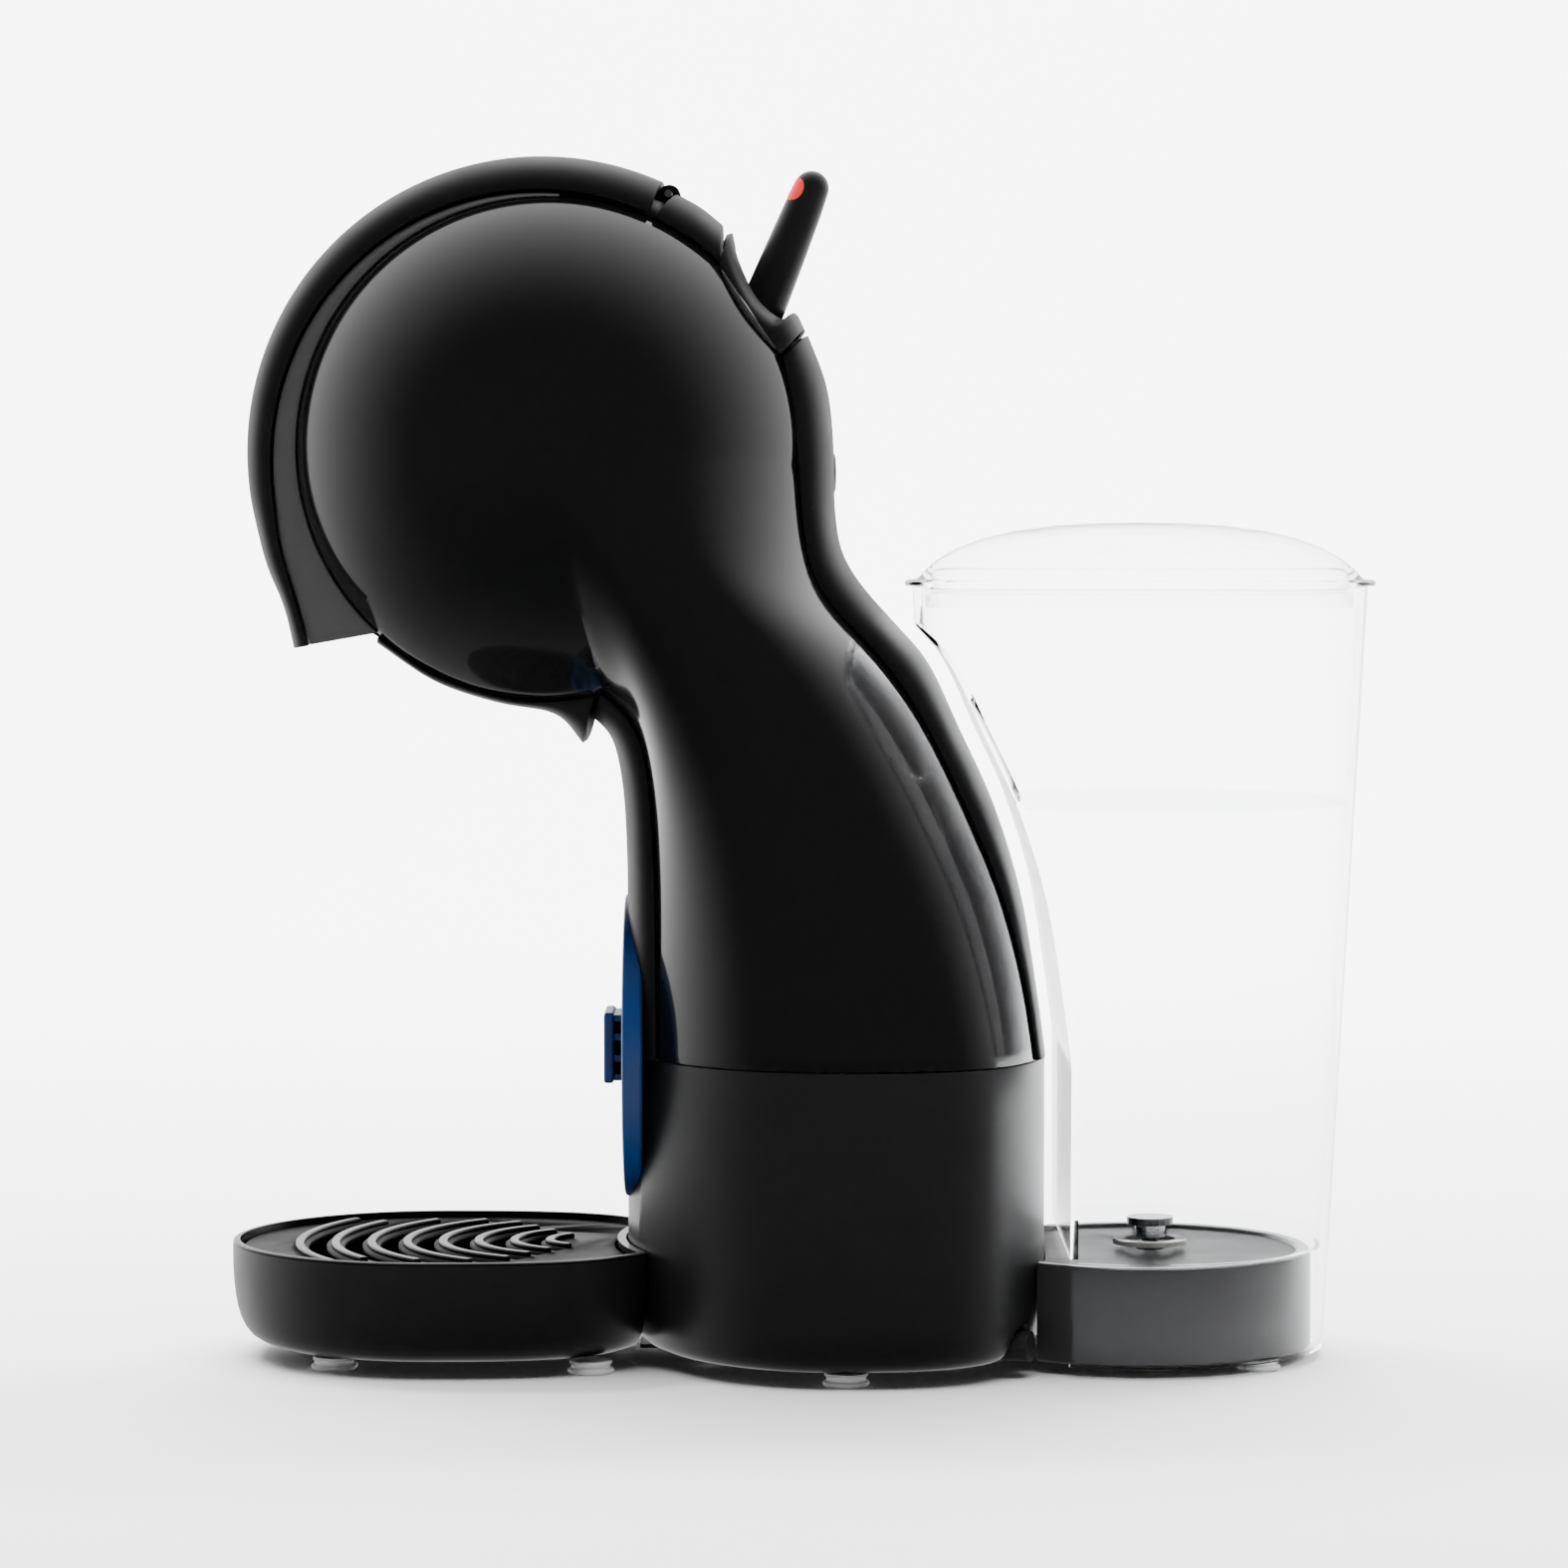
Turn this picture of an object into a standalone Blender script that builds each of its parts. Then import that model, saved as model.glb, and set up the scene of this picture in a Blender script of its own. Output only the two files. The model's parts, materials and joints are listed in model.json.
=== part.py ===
"""Pod coffee machine: a curved body with a lifting hood, a mixing lever, a drip tray and a water tank.

The front faces -X, up is +Z, and the origin is at the centre of the bounding box on the floor.
Lengths below are in metres. Side view outlines are (x, z) pairs in millimetres.
"""
import math

import bmesh
import bpy
from mathutils import Matrix, Vector

MM = 0.001
GAP = 0.3                       # clearance kept between touching pieces
SEAM = 0.9                      # visible seam between the base and the shells

BASE_TOP = 74.0                 # seam between the base and the glossy shells
BASE_CENTRE = 8.0               # middle of the base along X
BASE_DEPTH = 50.0               # half length of the base along X
BASE_WIDTH = 61.0               # half width of the base
BASE_BULGE = 2.8                # squareness of the rear half of the base section

HEAD = (-60.0, 217.5)           # centre of the round head, side view
HEAD_EDGE = 58.5                # radius of the shell edge round the head
HOOD_RADIUS = 70.5              # outer radius of the hood band
SPINE_HALF = 33.0               # half width of the matte spine
WALL = 2.4                      # wall of the moulded shells
EDGE_LIFT = 0.5                 # the bands start this far outside the edge of the side shells

HINGE = (-31.6, 277.4)          # hood hinge, side view
POD_X = -87.0                   # axis of the pod and the nozzle
TRAY_CENTRE = -88.0
TRAY_FRONT = 49.4
TRAY_BACK = 56.0
TRAY_WIDTH = 48.0
TRAY_TOP = 28.0
SLOT_CENTRE = -50.0             # centre of the curved grid slots, towards the column
SLOT_PITCH = 8.6

TANK_X = 81.0                   # axis of the water tank
TANK_TOP_RADIUS = 54.6
TANK_FOOT_RADIUS = 44.6
TANK_TOP = 184.8
TANK_FLOOR = 28.0
TANK_WALL = 2.0
SADDLE_GAP = 4.5                # space between the tank and the back of the body
DRUM_RADIUS = 41.6
DRUM_TOP = 26.0
VALVE_X = 84.0

TOOL_Z = 74.5
TOOL_RADIUS = 36.5
TOOL_FACE = -42.6
TOOL_BACK = -38.6

# Back of the body in side view, at the middle of the spine, from the lever bezel down to the floor.
BACK_LINE = [(1.4, 244.7), (5.8, 233.0), (7.4, 220.0), (7.7, 205.0), (9.4, 193.5), (14.4, 185.0),
             (22.5, 175.8), (30.2, 166.7), (37.6, 151.0), (45.8, 133.0), (52.2, 112.0),
             (56.0, 89.0), (58.0, 74.0)]
# The same line where the spine meets the side shells.
BACK_EDGE = [(-6.0, 239.8), (-2.6, 227.0), (-1.4, 213.5), (-0.3, 199.0), (2.2, 187.5), (8.0, 178.8),
             (15.7, 170.8), (23.0, 161.7), (30.0, 150.0), (39.5, 130.0), (47.0, 111.0),
             (52.0, 91.0), (54.6, 74.0)]
# Front of the column, at the middle and where it meets the side shells, from the head down.
FRONT_LINE = [(-50.0, 153.6), (-45.9, 149.4), (-43.8, 142.0), (-42.6, 132.0), (-42.0, 116.0),
              (-42.0, 95.0), (-42.0, 74.0)]
FRONT_EDGE = [(-47.0, 160.5), (-40.6, 154.4), (-37.2, 146.5), (-35.4, 133.7), (-34.4, 114.0),
              (-34.1, 95.0), (-34.0, 74.0)]
# Middle line of the side shells from the base up to the head, with the half width there.
MIDDLE = [(-60.0, 217.5, 68.0), (-42.0, 196.0, 65.6), (-27.0, 176.0, 63.4), (-15.0, 157.0, 61.8),
          (-6.0, 137.0, 61.0), (1.0, 116.0, 60.9), (5.5, 95.0, 61.0), (8.0, 74.0, 61.0)]

MATERIALS = {
    "gloss_black": ((0.006, 0.006, 0.007), 0.12, 0.0),
    "matte_black": ((0.010, 0.010, 0.011), 0.45, 0.0),
    "satin_black": ((0.014, 0.014, 0.015), 0.30, 0.0),
    "grey_plastic": ((0.050, 0.050, 0.052), 0.40, 0.0),
    "blue_plastic": ((0.000, 0.030, 0.140), 0.40, 0.0),
    "clear_plastic": ((0.900, 0.920, 0.940), 0.05, 0.0),
    "clear_rubber": ((0.750, 0.750, 0.750), 0.40, 0.0),
    "dark_rubber": ((0.020, 0.020, 0.020), 0.70, 0.0),
    "steel": ((0.550, 0.550, 0.560), 0.30, 1.0),
    "brass": ((0.700, 0.500, 0.220), 0.35, 1.0),
    "board_green": ((0.020, 0.140, 0.050), 0.50, 0.0),
    "silicone": ((0.650, 0.640, 0.600), 0.50, 0.0),
}


# ---------------------------------------------------------------- helpers

def clear_scene():
    for old in list(bpy.data.objects):
        bpy.data.objects.remove(old)
    for old in list(bpy.data.collections):
        bpy.data.collections.remove(old)


def make_collection(name):
    collection = bpy.data.collections.new(name)
    bpy.context.scene.collection.children.link(collection)
    return collection


def material(name):
    found = bpy.data.materials.get(name)
    if found:
        return found
    colour, roughness, metallic = MATERIALS[name]
    made = bpy.data.materials.new(name)
    made.use_nodes = True
    shader = made.node_tree.nodes["Principled BSDF"]
    shader.inputs["Base Color"].default_value = (*colour, 1.0)
    shader.inputs["Roughness"].default_value = roughness
    shader.inputs["Metallic"].default_value = metallic
    if name.startswith("clear_plastic"):
        shader.inputs["Transmission Weight"].default_value = 0.9
    return made


def add_object(name, data, finish):
    """Link data as a named piece, or as a hidden cutter when finish is None."""
    made = bpy.data.objects.new(name, data)
    if finish is None:
        CUTTERS.objects.link(made)
        made.hide_render = True
        made.display_type = "WIRE"
        return made
    PARTS.objects.link(made)
    data.materials.append(material(finish))
    return made


def finish_mesh(name, shape, finish, smooth=True):
    """Turn a bmesh in millimetres into a piece in metres."""
    bmesh.ops.scale(shape, vec=(MM, MM, MM), verts=shape.verts)
    data = bpy.data.meshes.new(name)
    shape.to_mesh(data)
    shape.free()
    if smooth:
        data.shade_smooth()
        data.set_sharp_from_angle(angle=math.radians(35))
    return add_object(name, data, finish)


def set_origin(piece, point):
    """Move a piece's origin to a point in millimetres without moving its shape."""
    place = Vector(point) * MM
    piece.data.transform(Matrix.Translation(piece.location - place))
    piece.location = place


def box(name, low, high, finish, bevel=0.0):
    shape = bmesh.new()
    bmesh.ops.create_cube(shape, size=1.0)
    size = Vector(high) - Vector(low)
    bmesh.ops.scale(shape, vec=size, verts=shape.verts)
    bmesh.ops.translate(shape, vec=(Vector(low) + Vector(high)) / 2, verts=shape.verts)
    piece = finish_mesh(name, shape, finish, smooth=False)
    if bevel:
        add_bevel(piece, bevel)
    return piece


def rod(name, start, end, radius, finish, sides=20, end_radius=None, bevel=0.0):
    """A round bar between two points."""
    shape = bmesh.new()
    start, end = Vector(start), Vector(end)
    along = end - start
    bmesh.ops.create_cone(shape, cap_ends=True, segments=sides, radius1=radius,
                          radius2=radius if end_radius is None else end_radius,
                          depth=along.length)
    turn = along.to_track_quat("Z", "Y").to_matrix().to_4x4()
    bmesh.ops.transform(shape, matrix=Matrix.Translation((start + end) / 2) @ turn,
                        verts=shape.verts)
    piece = finish_mesh(name, shape, finish)
    if bevel:
        add_bevel(piece, bevel)
    return piece


def turned(name, profile, centre, finish, steps=40):
    """Turn (radius, height) points about a vertical axis; the outside runs from top to bottom."""
    shape = bmesh.new()
    verts = [shape.verts.new((radius * MM, 0.0, height * MM)) for radius, height in profile]
    closed = profile[0][0] > 0.0
    for index in range(len(verts) - (0 if closed else 1)):
        shape.edges.new((verts[index], verts[(index + 1) % len(verts)]))
    data = bpy.data.meshes.new(name)
    shape.to_mesh(data)
    shape.free()
    piece = add_object(name, data, finish)
    piece.location = Vector((centre[0], centre[1], 0.0)) * MM
    screw = piece.modifiers.new("Screw", "SCREW")
    screw.steps = steps
    screw.render_steps = steps
    screw.use_merge_vertices = True
    screw.merge_threshold = 0.00002
    screw.use_smooth_shade = True
    return piece


def skin(shape, rows, closed=False, cap=False):
    """Add faces between rows of points; closed joins the ends of every row."""
    grid = [[shape.verts.new(point) for point in row] for row in rows]
    width = len(rows[0])
    for lower, upper in zip(grid, grid[1:]):
        for index in range(width if closed else width - 1):
            after = (index + 1) % width
            shape.faces.new((lower[index], lower[after], upper[after], upper[index]))
    if cap:
        shape.faces.new(list(reversed(grid[0])))
        shape.faces.new(grid[-1])


def loft(name, rows, finish, closed=False, cap=False):
    """A piece skinned over rows of points, each row as long as the last."""
    shape = bmesh.new()
    skin(shape, rows, closed, cap)
    bmesh.ops.remove_doubles(shape, verts=shape.verts, dist=0.001)
    if cap:
        bmesh.ops.recalc_face_normals(shape, faces=shape.faces)
    return finish_mesh(name, shape, finish)


def tube(name, points, radius, finish):
    """A hose along a smooth curve through the points."""
    curve = bpy.data.curves.new(name, "CURVE")
    curve.dimensions = "3D"
    curve.bevel_depth = radius * MM
    curve.bevel_resolution = 2
    curve.render_resolution_u = 0
    curve.use_fill_caps = True
    fine = smooth_line(points, 3)
    spline = curve.splines.new("POLY")
    spline.points.add(len(fine) - 1)
    for target, point in zip(spline.points, fine):
        target.co = (*(Vector(point) * MM), 1.0)
    return add_object(name, curve, finish)


def add_bevel(piece, width, segments=1):
    bevel = piece.modifiers.new("Bevel", "BEVEL")
    bevel.width = width * MM
    bevel.segments = segments
    bevel.limit_method = "ANGLE"


def add_wall(piece, thickness):
    """Give an open surface its wall, growing inwards."""
    wall = piece.modifiers.new("Wall", "SOLIDIFY")
    wall.thickness = thickness * MM
    wall.offset = -1.0


def combine(piece, tool, operation="DIFFERENCE"):
    cut = piece.modifiers.new(operation.title(), "BOOLEAN")
    cut.operation = operation
    cut.object = tool
    cut.solver = "EXACT"


def smooth_line(points, parts):
    """Catmull-Rom curve through points, with a number of parts between each pair."""
    vectors = [Vector(point) for point in points]
    ends = [vectors[0] * 2 - vectors[1]] + vectors + [vectors[-1] * 2 - vectors[-2]]
    line = []
    for a, b, c, d in zip(ends, ends[1:], ends[2:], ends[3:]):
        for step in range(parts):
            t = step / parts
            line.append(0.5 * (2 * b + (c - a) * t + (2 * a - 5 * b + 4 * c - d) * t ** 2
                               + (3 * b - a - 3 * c + d) * t ** 3))
    return line + [vectors[-1]]


def head_point(radius, degrees):
    angle = math.radians(degrees)
    return Vector((HEAD[0] + radius * math.cos(angle), HEAD[1] + radius * math.sin(angle)))


def base_section(grow=0.0, count=44):
    """Plan outline of the base: an ellipse in front and a squarer curve behind."""
    outline = []
    for index in range(count):
        angle = 2 * math.pi * index / count
        power = 2 / BASE_BULGE if math.cos(angle) > 0 else 1.0
        side = math.copysign(abs(math.cos(angle)) ** power, math.cos(angle))
        across = math.copysign(abs(math.sin(angle)) ** power, math.sin(angle))
        outline.append((BASE_CENTRE + (BASE_DEPTH + grow) * side, (BASE_WIDTH + grow) * across))
    return outline


def ring_rows(outline_at, heights):
    """Rows for a loft: the plan outline for each (grow, height) pair."""
    return [[(x, y, height) for x, y in outline_at(grow)] for grow, height in heights]


def resample(points, count):
    """The smooth curve through points, read at evenly spaced places."""
    fine = smooth_line(points, 8)
    travelled = [0.0]
    for start, end in zip(fine, fine[1:]):
        travelled.append(travelled[-1] + (end - start).length)
    places = []
    index = 0
    for step in range(count):
        wanted = travelled[-1] * step / (count - 1)
        while index < len(fine) - 2 and travelled[index + 1] < wanted:
            index += 1
        share = (wanted - travelled[index]) / (travelled[index + 1] - travelled[index])
        places.append(fine[index].lerp(fine[index + 1], share))
    return places


def face_away(piece, inside):
    """Turn an open surface so that its faces look away from a point inside it."""
    centre = Vector(inside) * MM
    total = sum(face.area * face.normal.dot(face.center - centre) for face in piece.data.polygons)
    if total < 0.0:
        piece.data.flip_normals()


# ---------------------------------------------------------------- body shells

def shell_rows(side, columns=8, up=10, around=24):
    """Rows of a side shell: up the front, round the head, and down the back."""
    middle = resample(MIDDLE, up)
    front = resample(FRONT_EDGE, up)
    back = resample(BACK_EDGE[2:], up)
    rows = []
    for index in range(up - 1, 0, -1):
        rows.append((front[index], middle[index], 2.0))
    first, last = 283.0, -4.0
    for index in range(around):
        degrees = first + (last - first) * index / (around - 1)
        rows.append((head_point(HEAD_EDGE, degrees), middle[0], 2.0))
    for index in range(1, up):
        square = 2.0 + (BASE_BULGE - 2.0) * (index / (up - 1)) ** 2
        rows.append((back[index], middle[index], square))
    made = []
    for edge, centre, power in rows:
        width = centre[2]
        start = math.asin((SPINE_HALF / width) ** (power / 2))
        row = []
        for column in range(columns):
            angle = start + (math.pi / 2 - start) * column / (columns - 1)
            share = max(math.cos(angle), 0.0) ** (2 / power) / math.cos(start) ** (2 / power)
            x = centre[0] + (edge[0] - centre[0]) * share
            z = centre[1] + (edge[1] - centre[1]) * share
            row.append((x, side * width * math.sin(angle) ** (2 / power), z))
        made.append(row)
    return made


def side_shells():
    for name, side in (("side_shell_right", -1), ("side_shell_left", 1)):
        shell = loft(name, shell_rows(side), "gloss_black")
        face_away(shell, (-20.0, 0.0, 150.0))
        add_wall(shell, WALL)


def strip(name, crown, edge, finish, count, across=9, wall=WALL):
    """A rounded band between the two side shells, from its middle line and its edge line."""
    crown = resample(crown, count)
    edge = resample(edge, count)
    half = SPINE_HALF - GAP
    rows = []
    for top, side in zip(crown, edge):
        side = side + (top - side).normalized() * EDGE_LIFT
        row = []
        for column in range(across):
            angle = math.pi * column / (across - 1)
            rise = math.sin(angle) ** 0.8
            reach = math.copysign(abs(math.cos(angle)) ** 0.8, math.cos(angle))
            place = side + (top - side) * rise
            row.append((place[0], -half * reach, place[1]))
        rows.append(row)
    band = loft(name, rows, finish)
    face_away(band, (HEAD[0], 0.0, 110.0) if name == "rear_spine" else (-20.0, 0.0, 200.0))
    add_wall(band, wall)
    return band


def spines():
    rear = strip("rear_spine", BACK_LINE, [(-5.0, 238.2)] + BACK_EDGE[1:], "matte_black", 20)
    combine(rear, bpy.data.objects["cut_button"])
    front = strip("front_spine", FRONT_LINE, FRONT_EDGE, "matte_black", 12)
    combine(front, bpy.data.objects["cut_tool_seat"])
    crown = [(-29.6, 278.2), (-24.2, 275.2), (-18.8, 270.9)]
    edge = [head_point(59.0, degrees) for degrees in (65.0, 55.0, 46.5)]
    strip("top_spine", crown, edge, "matte_black", 5)
    crown = [(-16.4, 268.9), (-14.8, 262.0), (-10.5, 253.0), (-4.5, 248.2), (-1.6, 250.4), (0.9, 245.6)]
    edge = [head_point(58.8, degrees) for degrees in (44.5, 38.0, 32.0, 26.0, 24.0, 22.3)]
    bezel = strip("lever_bezel", crown, edge, "satin_black", 11, wall=1.2)
    combine(bezel, bpy.data.objects["cut_lever_slot"])


def nozzle_guard():
    crown = [head_point(61.4, degrees) for degrees in (229.0, 244.0, 258.0)]
    crown += [Vector((-58.9, 154.6)), Vector((-52.6, 147.4))]
    edge = [head_point(58.9, degrees) for degrees in (228.0, 243.0, 260.0, 270.0, 281.0)]
    guard = strip("nozzle_guard", crown, edge, "matte_black", 10, wall=1.2)
    combine(guard, bpy.data.objects["cut_outlet"])


def base_parts():
    profile = [(-10.0, 3.2), (-5.5, 3.6), (-2.4, 5.6), (-0.7, 9.0), (0.0, 14.0), (0.0, 40.0),
               (0.0, BASE_TOP - SEAM)]
    shell = loft("base_shell", ring_rows(base_section, profile), "matte_black", closed=True)
    face_away(shell, (BASE_CENTRE, 0.0, 40.0))
    add_wall(shell, WALL)
    for cutter in ("cut_cord_notch", "cut_tool_seat", "cut_hose_channel"):
        combine(shell, bpy.data.objects[cutter])
    plate = [(-10.6, 3.2), (-10.6, 5.2)]
    loft("base_plate", ring_rows(base_section, plate), "grey_plastic", closed=True, cap=True)
    rod("cable_gland", (46.5, -37.6, 7.4), (53.4, -40.2, 7.4), 3.6, "dark_rubber")
    for index, (x, y) in enumerate(((-22, -20), (-22, 20), (34, -24), (34, 24)), start=1):
        rod(f"base_screw_{index}", (x, y, 2.1), (x, y, 2.9), 3.2, "steel", sides=16)
    for index, y in enumerate((-50.5, 50.5), start=1):
        rod(f"body_foot_{index}", (10, y, 0), (10, y, 2.9), 5.4, "clear_rubber", bevel=0.4)


# ---------------------------------------------------------------- hood

def hood_lines():
    """Middle line and edge line of the hood band, from the hinge down to its front lip."""
    crown, edge = [], []
    steps = 13
    for index in range(steps):
        degrees = 66.0 + 124.0 * index / (steps - 1)
        angle = math.radians(degrees)
        crown.append(Vector((-61.8 + HOOD_RADIUS * math.cos(angle),
                             216.9 + HOOD_RADIUS * math.sin(angle))))
        edge.append(head_point(59.3 + 5.4 * ((degrees - 66.0) / 124.0) ** 1.3, degrees))
    crown += [Vector(point) for point in ((-127.6, 190.4), (-123.4, 180.6), (-121.0, 170.4))]
    edge += [Vector(point) for point in ((-122.3, 195.0), (-119.2, 184.0), (-115.6, 171.4))]
    return crown, edge


def hood():
    crown, edge = hood_lines()
    band = strip("hood_band", crown, edge, "matte_black", 24)
    set_origin(band, (HINGE[0], 0.0, HINGE[1]))
    outer = resample(edge, 24)[6:]
    for name, side in (("hood_cheek_right", -1), ("hood_cheek_left", 1)):
        rows = []
        for point in outer:
            spoke = point - Vector(HEAD)
            low = point - spoke.normalized() * 0.5
            near = Vector(HEAD) + spoke.normalized() * (HEAD_EDGE + 0.5)
            rows.append([(low[0], side * 33.5, low[1]),
                         ((low[0] + near[0]) / 2, side * 35.3, (low[1] + near[1]) / 2),
                         (near[0], side * 36.4, near[1])])
        cheek = loft(name, rows, "satin_black")
        face_away(cheek, (-60.0, 0.0, 217.0))
        add_wall(cheek, 1.6)
        set_origin(cheek, (HINGE[0], 0.0, HINGE[1]))
    rod("hood_pin", (HINGE[0], -24.0, HINGE[1]), (HINGE[0], 24.0, HINGE[1]), 0.9, "steel", sides=12)


# ---------------------------------------------------------------- brewing parts in the head

def brewing_parts():
    frame = box("head_frame", (-94.0, -29.0, 174.2), (-52.0, 29.0, 176.6), "grey_plastic")
    combine(frame, box("frame_wall", (-56.0, -29.0, 175.0), (-52.0, 29.0, 236.0), None), "UNION")
    combine(frame, bpy.data.objects["cut_outlet"])
    holder = box("pod_holder", (-114.0, -27.0, 177.2), (-60.0, 27.0, 205.0), "matte_black", bevel=4.0)
    combine(holder, rod("pod_cavity", (POD_X, 0, 182.0), (POD_X, 0, 210.0), 23.5, None, sides=32))
    combine(holder, rod("pod_outlet", (POD_X, 0, 170.0), (POD_X, 0, 186.0), 3.5, None))
    rod("brew_head", (POD_X, 0, 209.0), (POD_X, 0, 220.0), 25.0, "grey_plastic", sides=32, bevel=1.0)
    turned("brew_seal", [(22.0, 208.7), (22.0, 207.0), (19.0, 207.0), (19.0, 208.7)], (POD_X, 0),
           "silicone", steps=32)
    rod("brew_needle", (POD_X, 0, 208.6), (POD_X, 0, 203.3), 1.8, "steel", sides=12, end_radius=0.4)


def lever_parts():
    """The lever swings sideways about a shaft that lies along the back of the head."""
    pivot = Vector((-13.5, 0.0, 242.0))
    tangent = Vector((0.59, 0.0, -0.807)).normalized()
    lean = Vector((0.38, 0.0, 0.925)).normalized()
    lever = rod("control_lever", pivot + lean * 7.6, pivot + lean * 45.4, 4.8, "matte_black",
                end_radius=3.8, bevel=1.6)
    set_origin(lever, pivot)
    shaft = rod("lever_shaft", pivot - tangent * 6.0, pivot + tangent * 6.0, 3.2, "steel", sides=16)
    set_origin(shaft, pivot)
    box("valve_block", (-38.0, -14.0, 208.0), (-16.0, 14.0, 229.0), "brass", bevel=1.0)


# ---------------------------------------------------------------- works in the column

def works():
    rod("pump", (20, 0, 34), (20, 0, 86), 17.0, "steel", sides=28, bevel=1.5)
    rod("pump_mount_lower", (20, 0, 5.6), (20, 0, 33.6), 11.0, "dark_rubber", sides=20)
    rod("pump_mount_upper", (20, 0, 86.4), (20, 0, 92.0), 11.0, "dark_rubber", sides=20)
    rod("heater", (-2, 0, 106), (-2, 0, 146), 22.0, "steel", sides=28, bevel=2.0)
    box("control_board", (-12.0, 40.0, 14.0), (28.0, 41.8, 68.0), "board_green")
    tube("suction_hose", [(VALVE_X, 0, 22), (82, 0, 13), (68, 0, 10), (52, 0, 12), (44, 0, 24),
                          (41.5, 0, 42)], 3.0, "silicone")
    tube("pressure_hose", [(34, 0, 90), (32, 0, 98), (22, 0, 100), (10, 0, 100), (0, 0, 101),
                           (-4, 0, 103)], 2.0, "silicone")
    tube("hot_hose", [(-4, 0, 148.6), (-7, 0, 162), (-18, 0, 178), (-27, 0, 192), (-28, 0, 205)],
         2.4, "silicone")


def rinsing_tool():
    seat = (TOOL_BACK, 0.0, TOOL_Z)
    disc = rod("rinsing_tool", seat, (TOOL_FACE, 0.0, TOOL_Z), TOOL_RADIUS, "blue_plastic", sides=48)
    grip = box("tool_grip", (-47.6, -10.0, TOOL_Z - 8.5), (TOOL_FACE + 0.5, 10.0, TOOL_Z + 8.5), None)
    combine(disc, grip, "UNION")
    rod("tool_recess", (TOOL_BACK + 0.4, 0, TOOL_Z), (TOOL_BACK + 2.2, 0, TOOL_Z), 11.0,
        "matte_black", sides=32)


# ---------------------------------------------------------------- drip tray

def tray_section(grow=0.0, count=46):
    """Plan outline of the tray: round in front and squarer towards the column."""
    outline = []
    for index in range(count):
        angle = 2 * math.pi * index / count
        behind = math.cos(angle) > 0
        power = 0.7 if behind else 1.0
        reach = (TRAY_BACK if behind else TRAY_FRONT) + grow
        side = math.copysign(abs(math.cos(angle)) ** power, math.cos(angle))
        across = math.copysign(abs(math.sin(angle)) ** power, math.sin(angle))
        outline.append((TRAY_CENTRE + reach * side, (TRAY_WIDTH + grow) * across))
    return outline


def column_cutter(name, grow):
    rows = ring_rows(base_section, [(grow, -6.0), (grow, 60.0)])
    return loft(name, rows, None, closed=True, cap=True)


def slot_rows(radius, steps=8):
    """Rows for one curved slot of the grid, centred towards the column."""
    spread = 60.0
    while True:
        angle = math.radians(spread)
        x = SLOT_CENTRE - radius * math.cos(angle)
        y = radius * math.sin(angle)
        if ((x - TRAY_CENTRE) / 42.5) ** 2 + (y / 41.0) ** 2 < 1.0:
            break
        spread -= 1.7
    rows = []
    for index in range(steps + 1):
        turn = math.radians(180.0 - spread + 2 * spread * index / steps)
        row = []
        for reach, height in ((-2.2, 20.0), (2.2, 20.0), (2.2, 32.0), (-2.2, 32.0)):
            x = SLOT_CENTRE + (radius + reach) * math.cos(turn)
            row.append((x, (radius + reach) * math.sin(turn), height))
        rows.append(row)
    return rows


def grid_slots():
    """All the curved slots of the grid as one cutter."""
    shape = bmesh.new()
    for index in range(7):
        skin(shape, slot_rows(15.3 + SLOT_PITCH * index), closed=True, cap=True)
    bmesh.ops.recalc_face_normals(shape, faces=shape.faces)
    return finish_mesh("grid_slots", shape, None)


def drip_tray():
    profile = [(-14.0, 3.2), (-8.0, 3.7), (-4.2, 5.6), (-1.8, 9.5), (-0.5, 15.0), (0.0, 22.0),
               (0.0, TRAY_TOP)]
    tray = loft("drip_tray", ring_rows(tray_section, profile), "matte_black", closed=True, cap=True)
    hollow = [(-12.0, 6.0), (-5.0, 8.0), (-2.2, 16.0), (-2.2, 40.0)]
    basin = loft("tray_basin", ring_rows(tray_section, hollow), None, closed=True, cap=True)
    combine(basin, column_cutter("column_for_basin", 2.8))
    combine(tray, column_cutter("column_for_tray", 0.6))
    combine(tray, basin)
    grid = loft("drip_grid", ring_rows(tray_section, [(-2.7, 24.6), (-2.7, 26.4)]), "gloss_black",
                closed=True, cap=True)
    combine(grid, column_cutter("column_for_grid", 3.4))
    combine(grid, grid_slots())
    for index, (x, y) in enumerate(((-111, -26), (-111, 26), (-50, -32), (-50, 32)), start=1):
        rod(f"tray_foot_{index}", (x, y, 0), (x, y, 2.9), 5.4, "clear_rubber", bevel=0.4)
    box("tray_bracket", (-39.0, -8.0, 2.0), (-27.0, 8.0, 2.9), "grey_plastic")


# ---------------------------------------------------------------- water tank

def saddle_cutter(name, gap):
    """Everything in front of the back of the body, in side view, out to a gap behind it."""
    line = [(x + gap, z) for x, z in BACK_LINE[4:]] + [(58.0 + gap, -6.0)]
    outline = [(-40.0, 210.0), (12.0, 210.0)] + line + [(-40.0, -6.0)]
    rows = [[(x, y, z) for x, z in outline] for y in (70.0, -70.0)]
    return loft(name, rows, None, closed=True, cap=True)


def tank_radius(height):
    share = (height - 2.5) / (TANK_TOP - 2.5)
    return TANK_FOOT_RADIUS + (TANK_TOP_RADIUS - TANK_FOOT_RADIUS) * share


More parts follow.
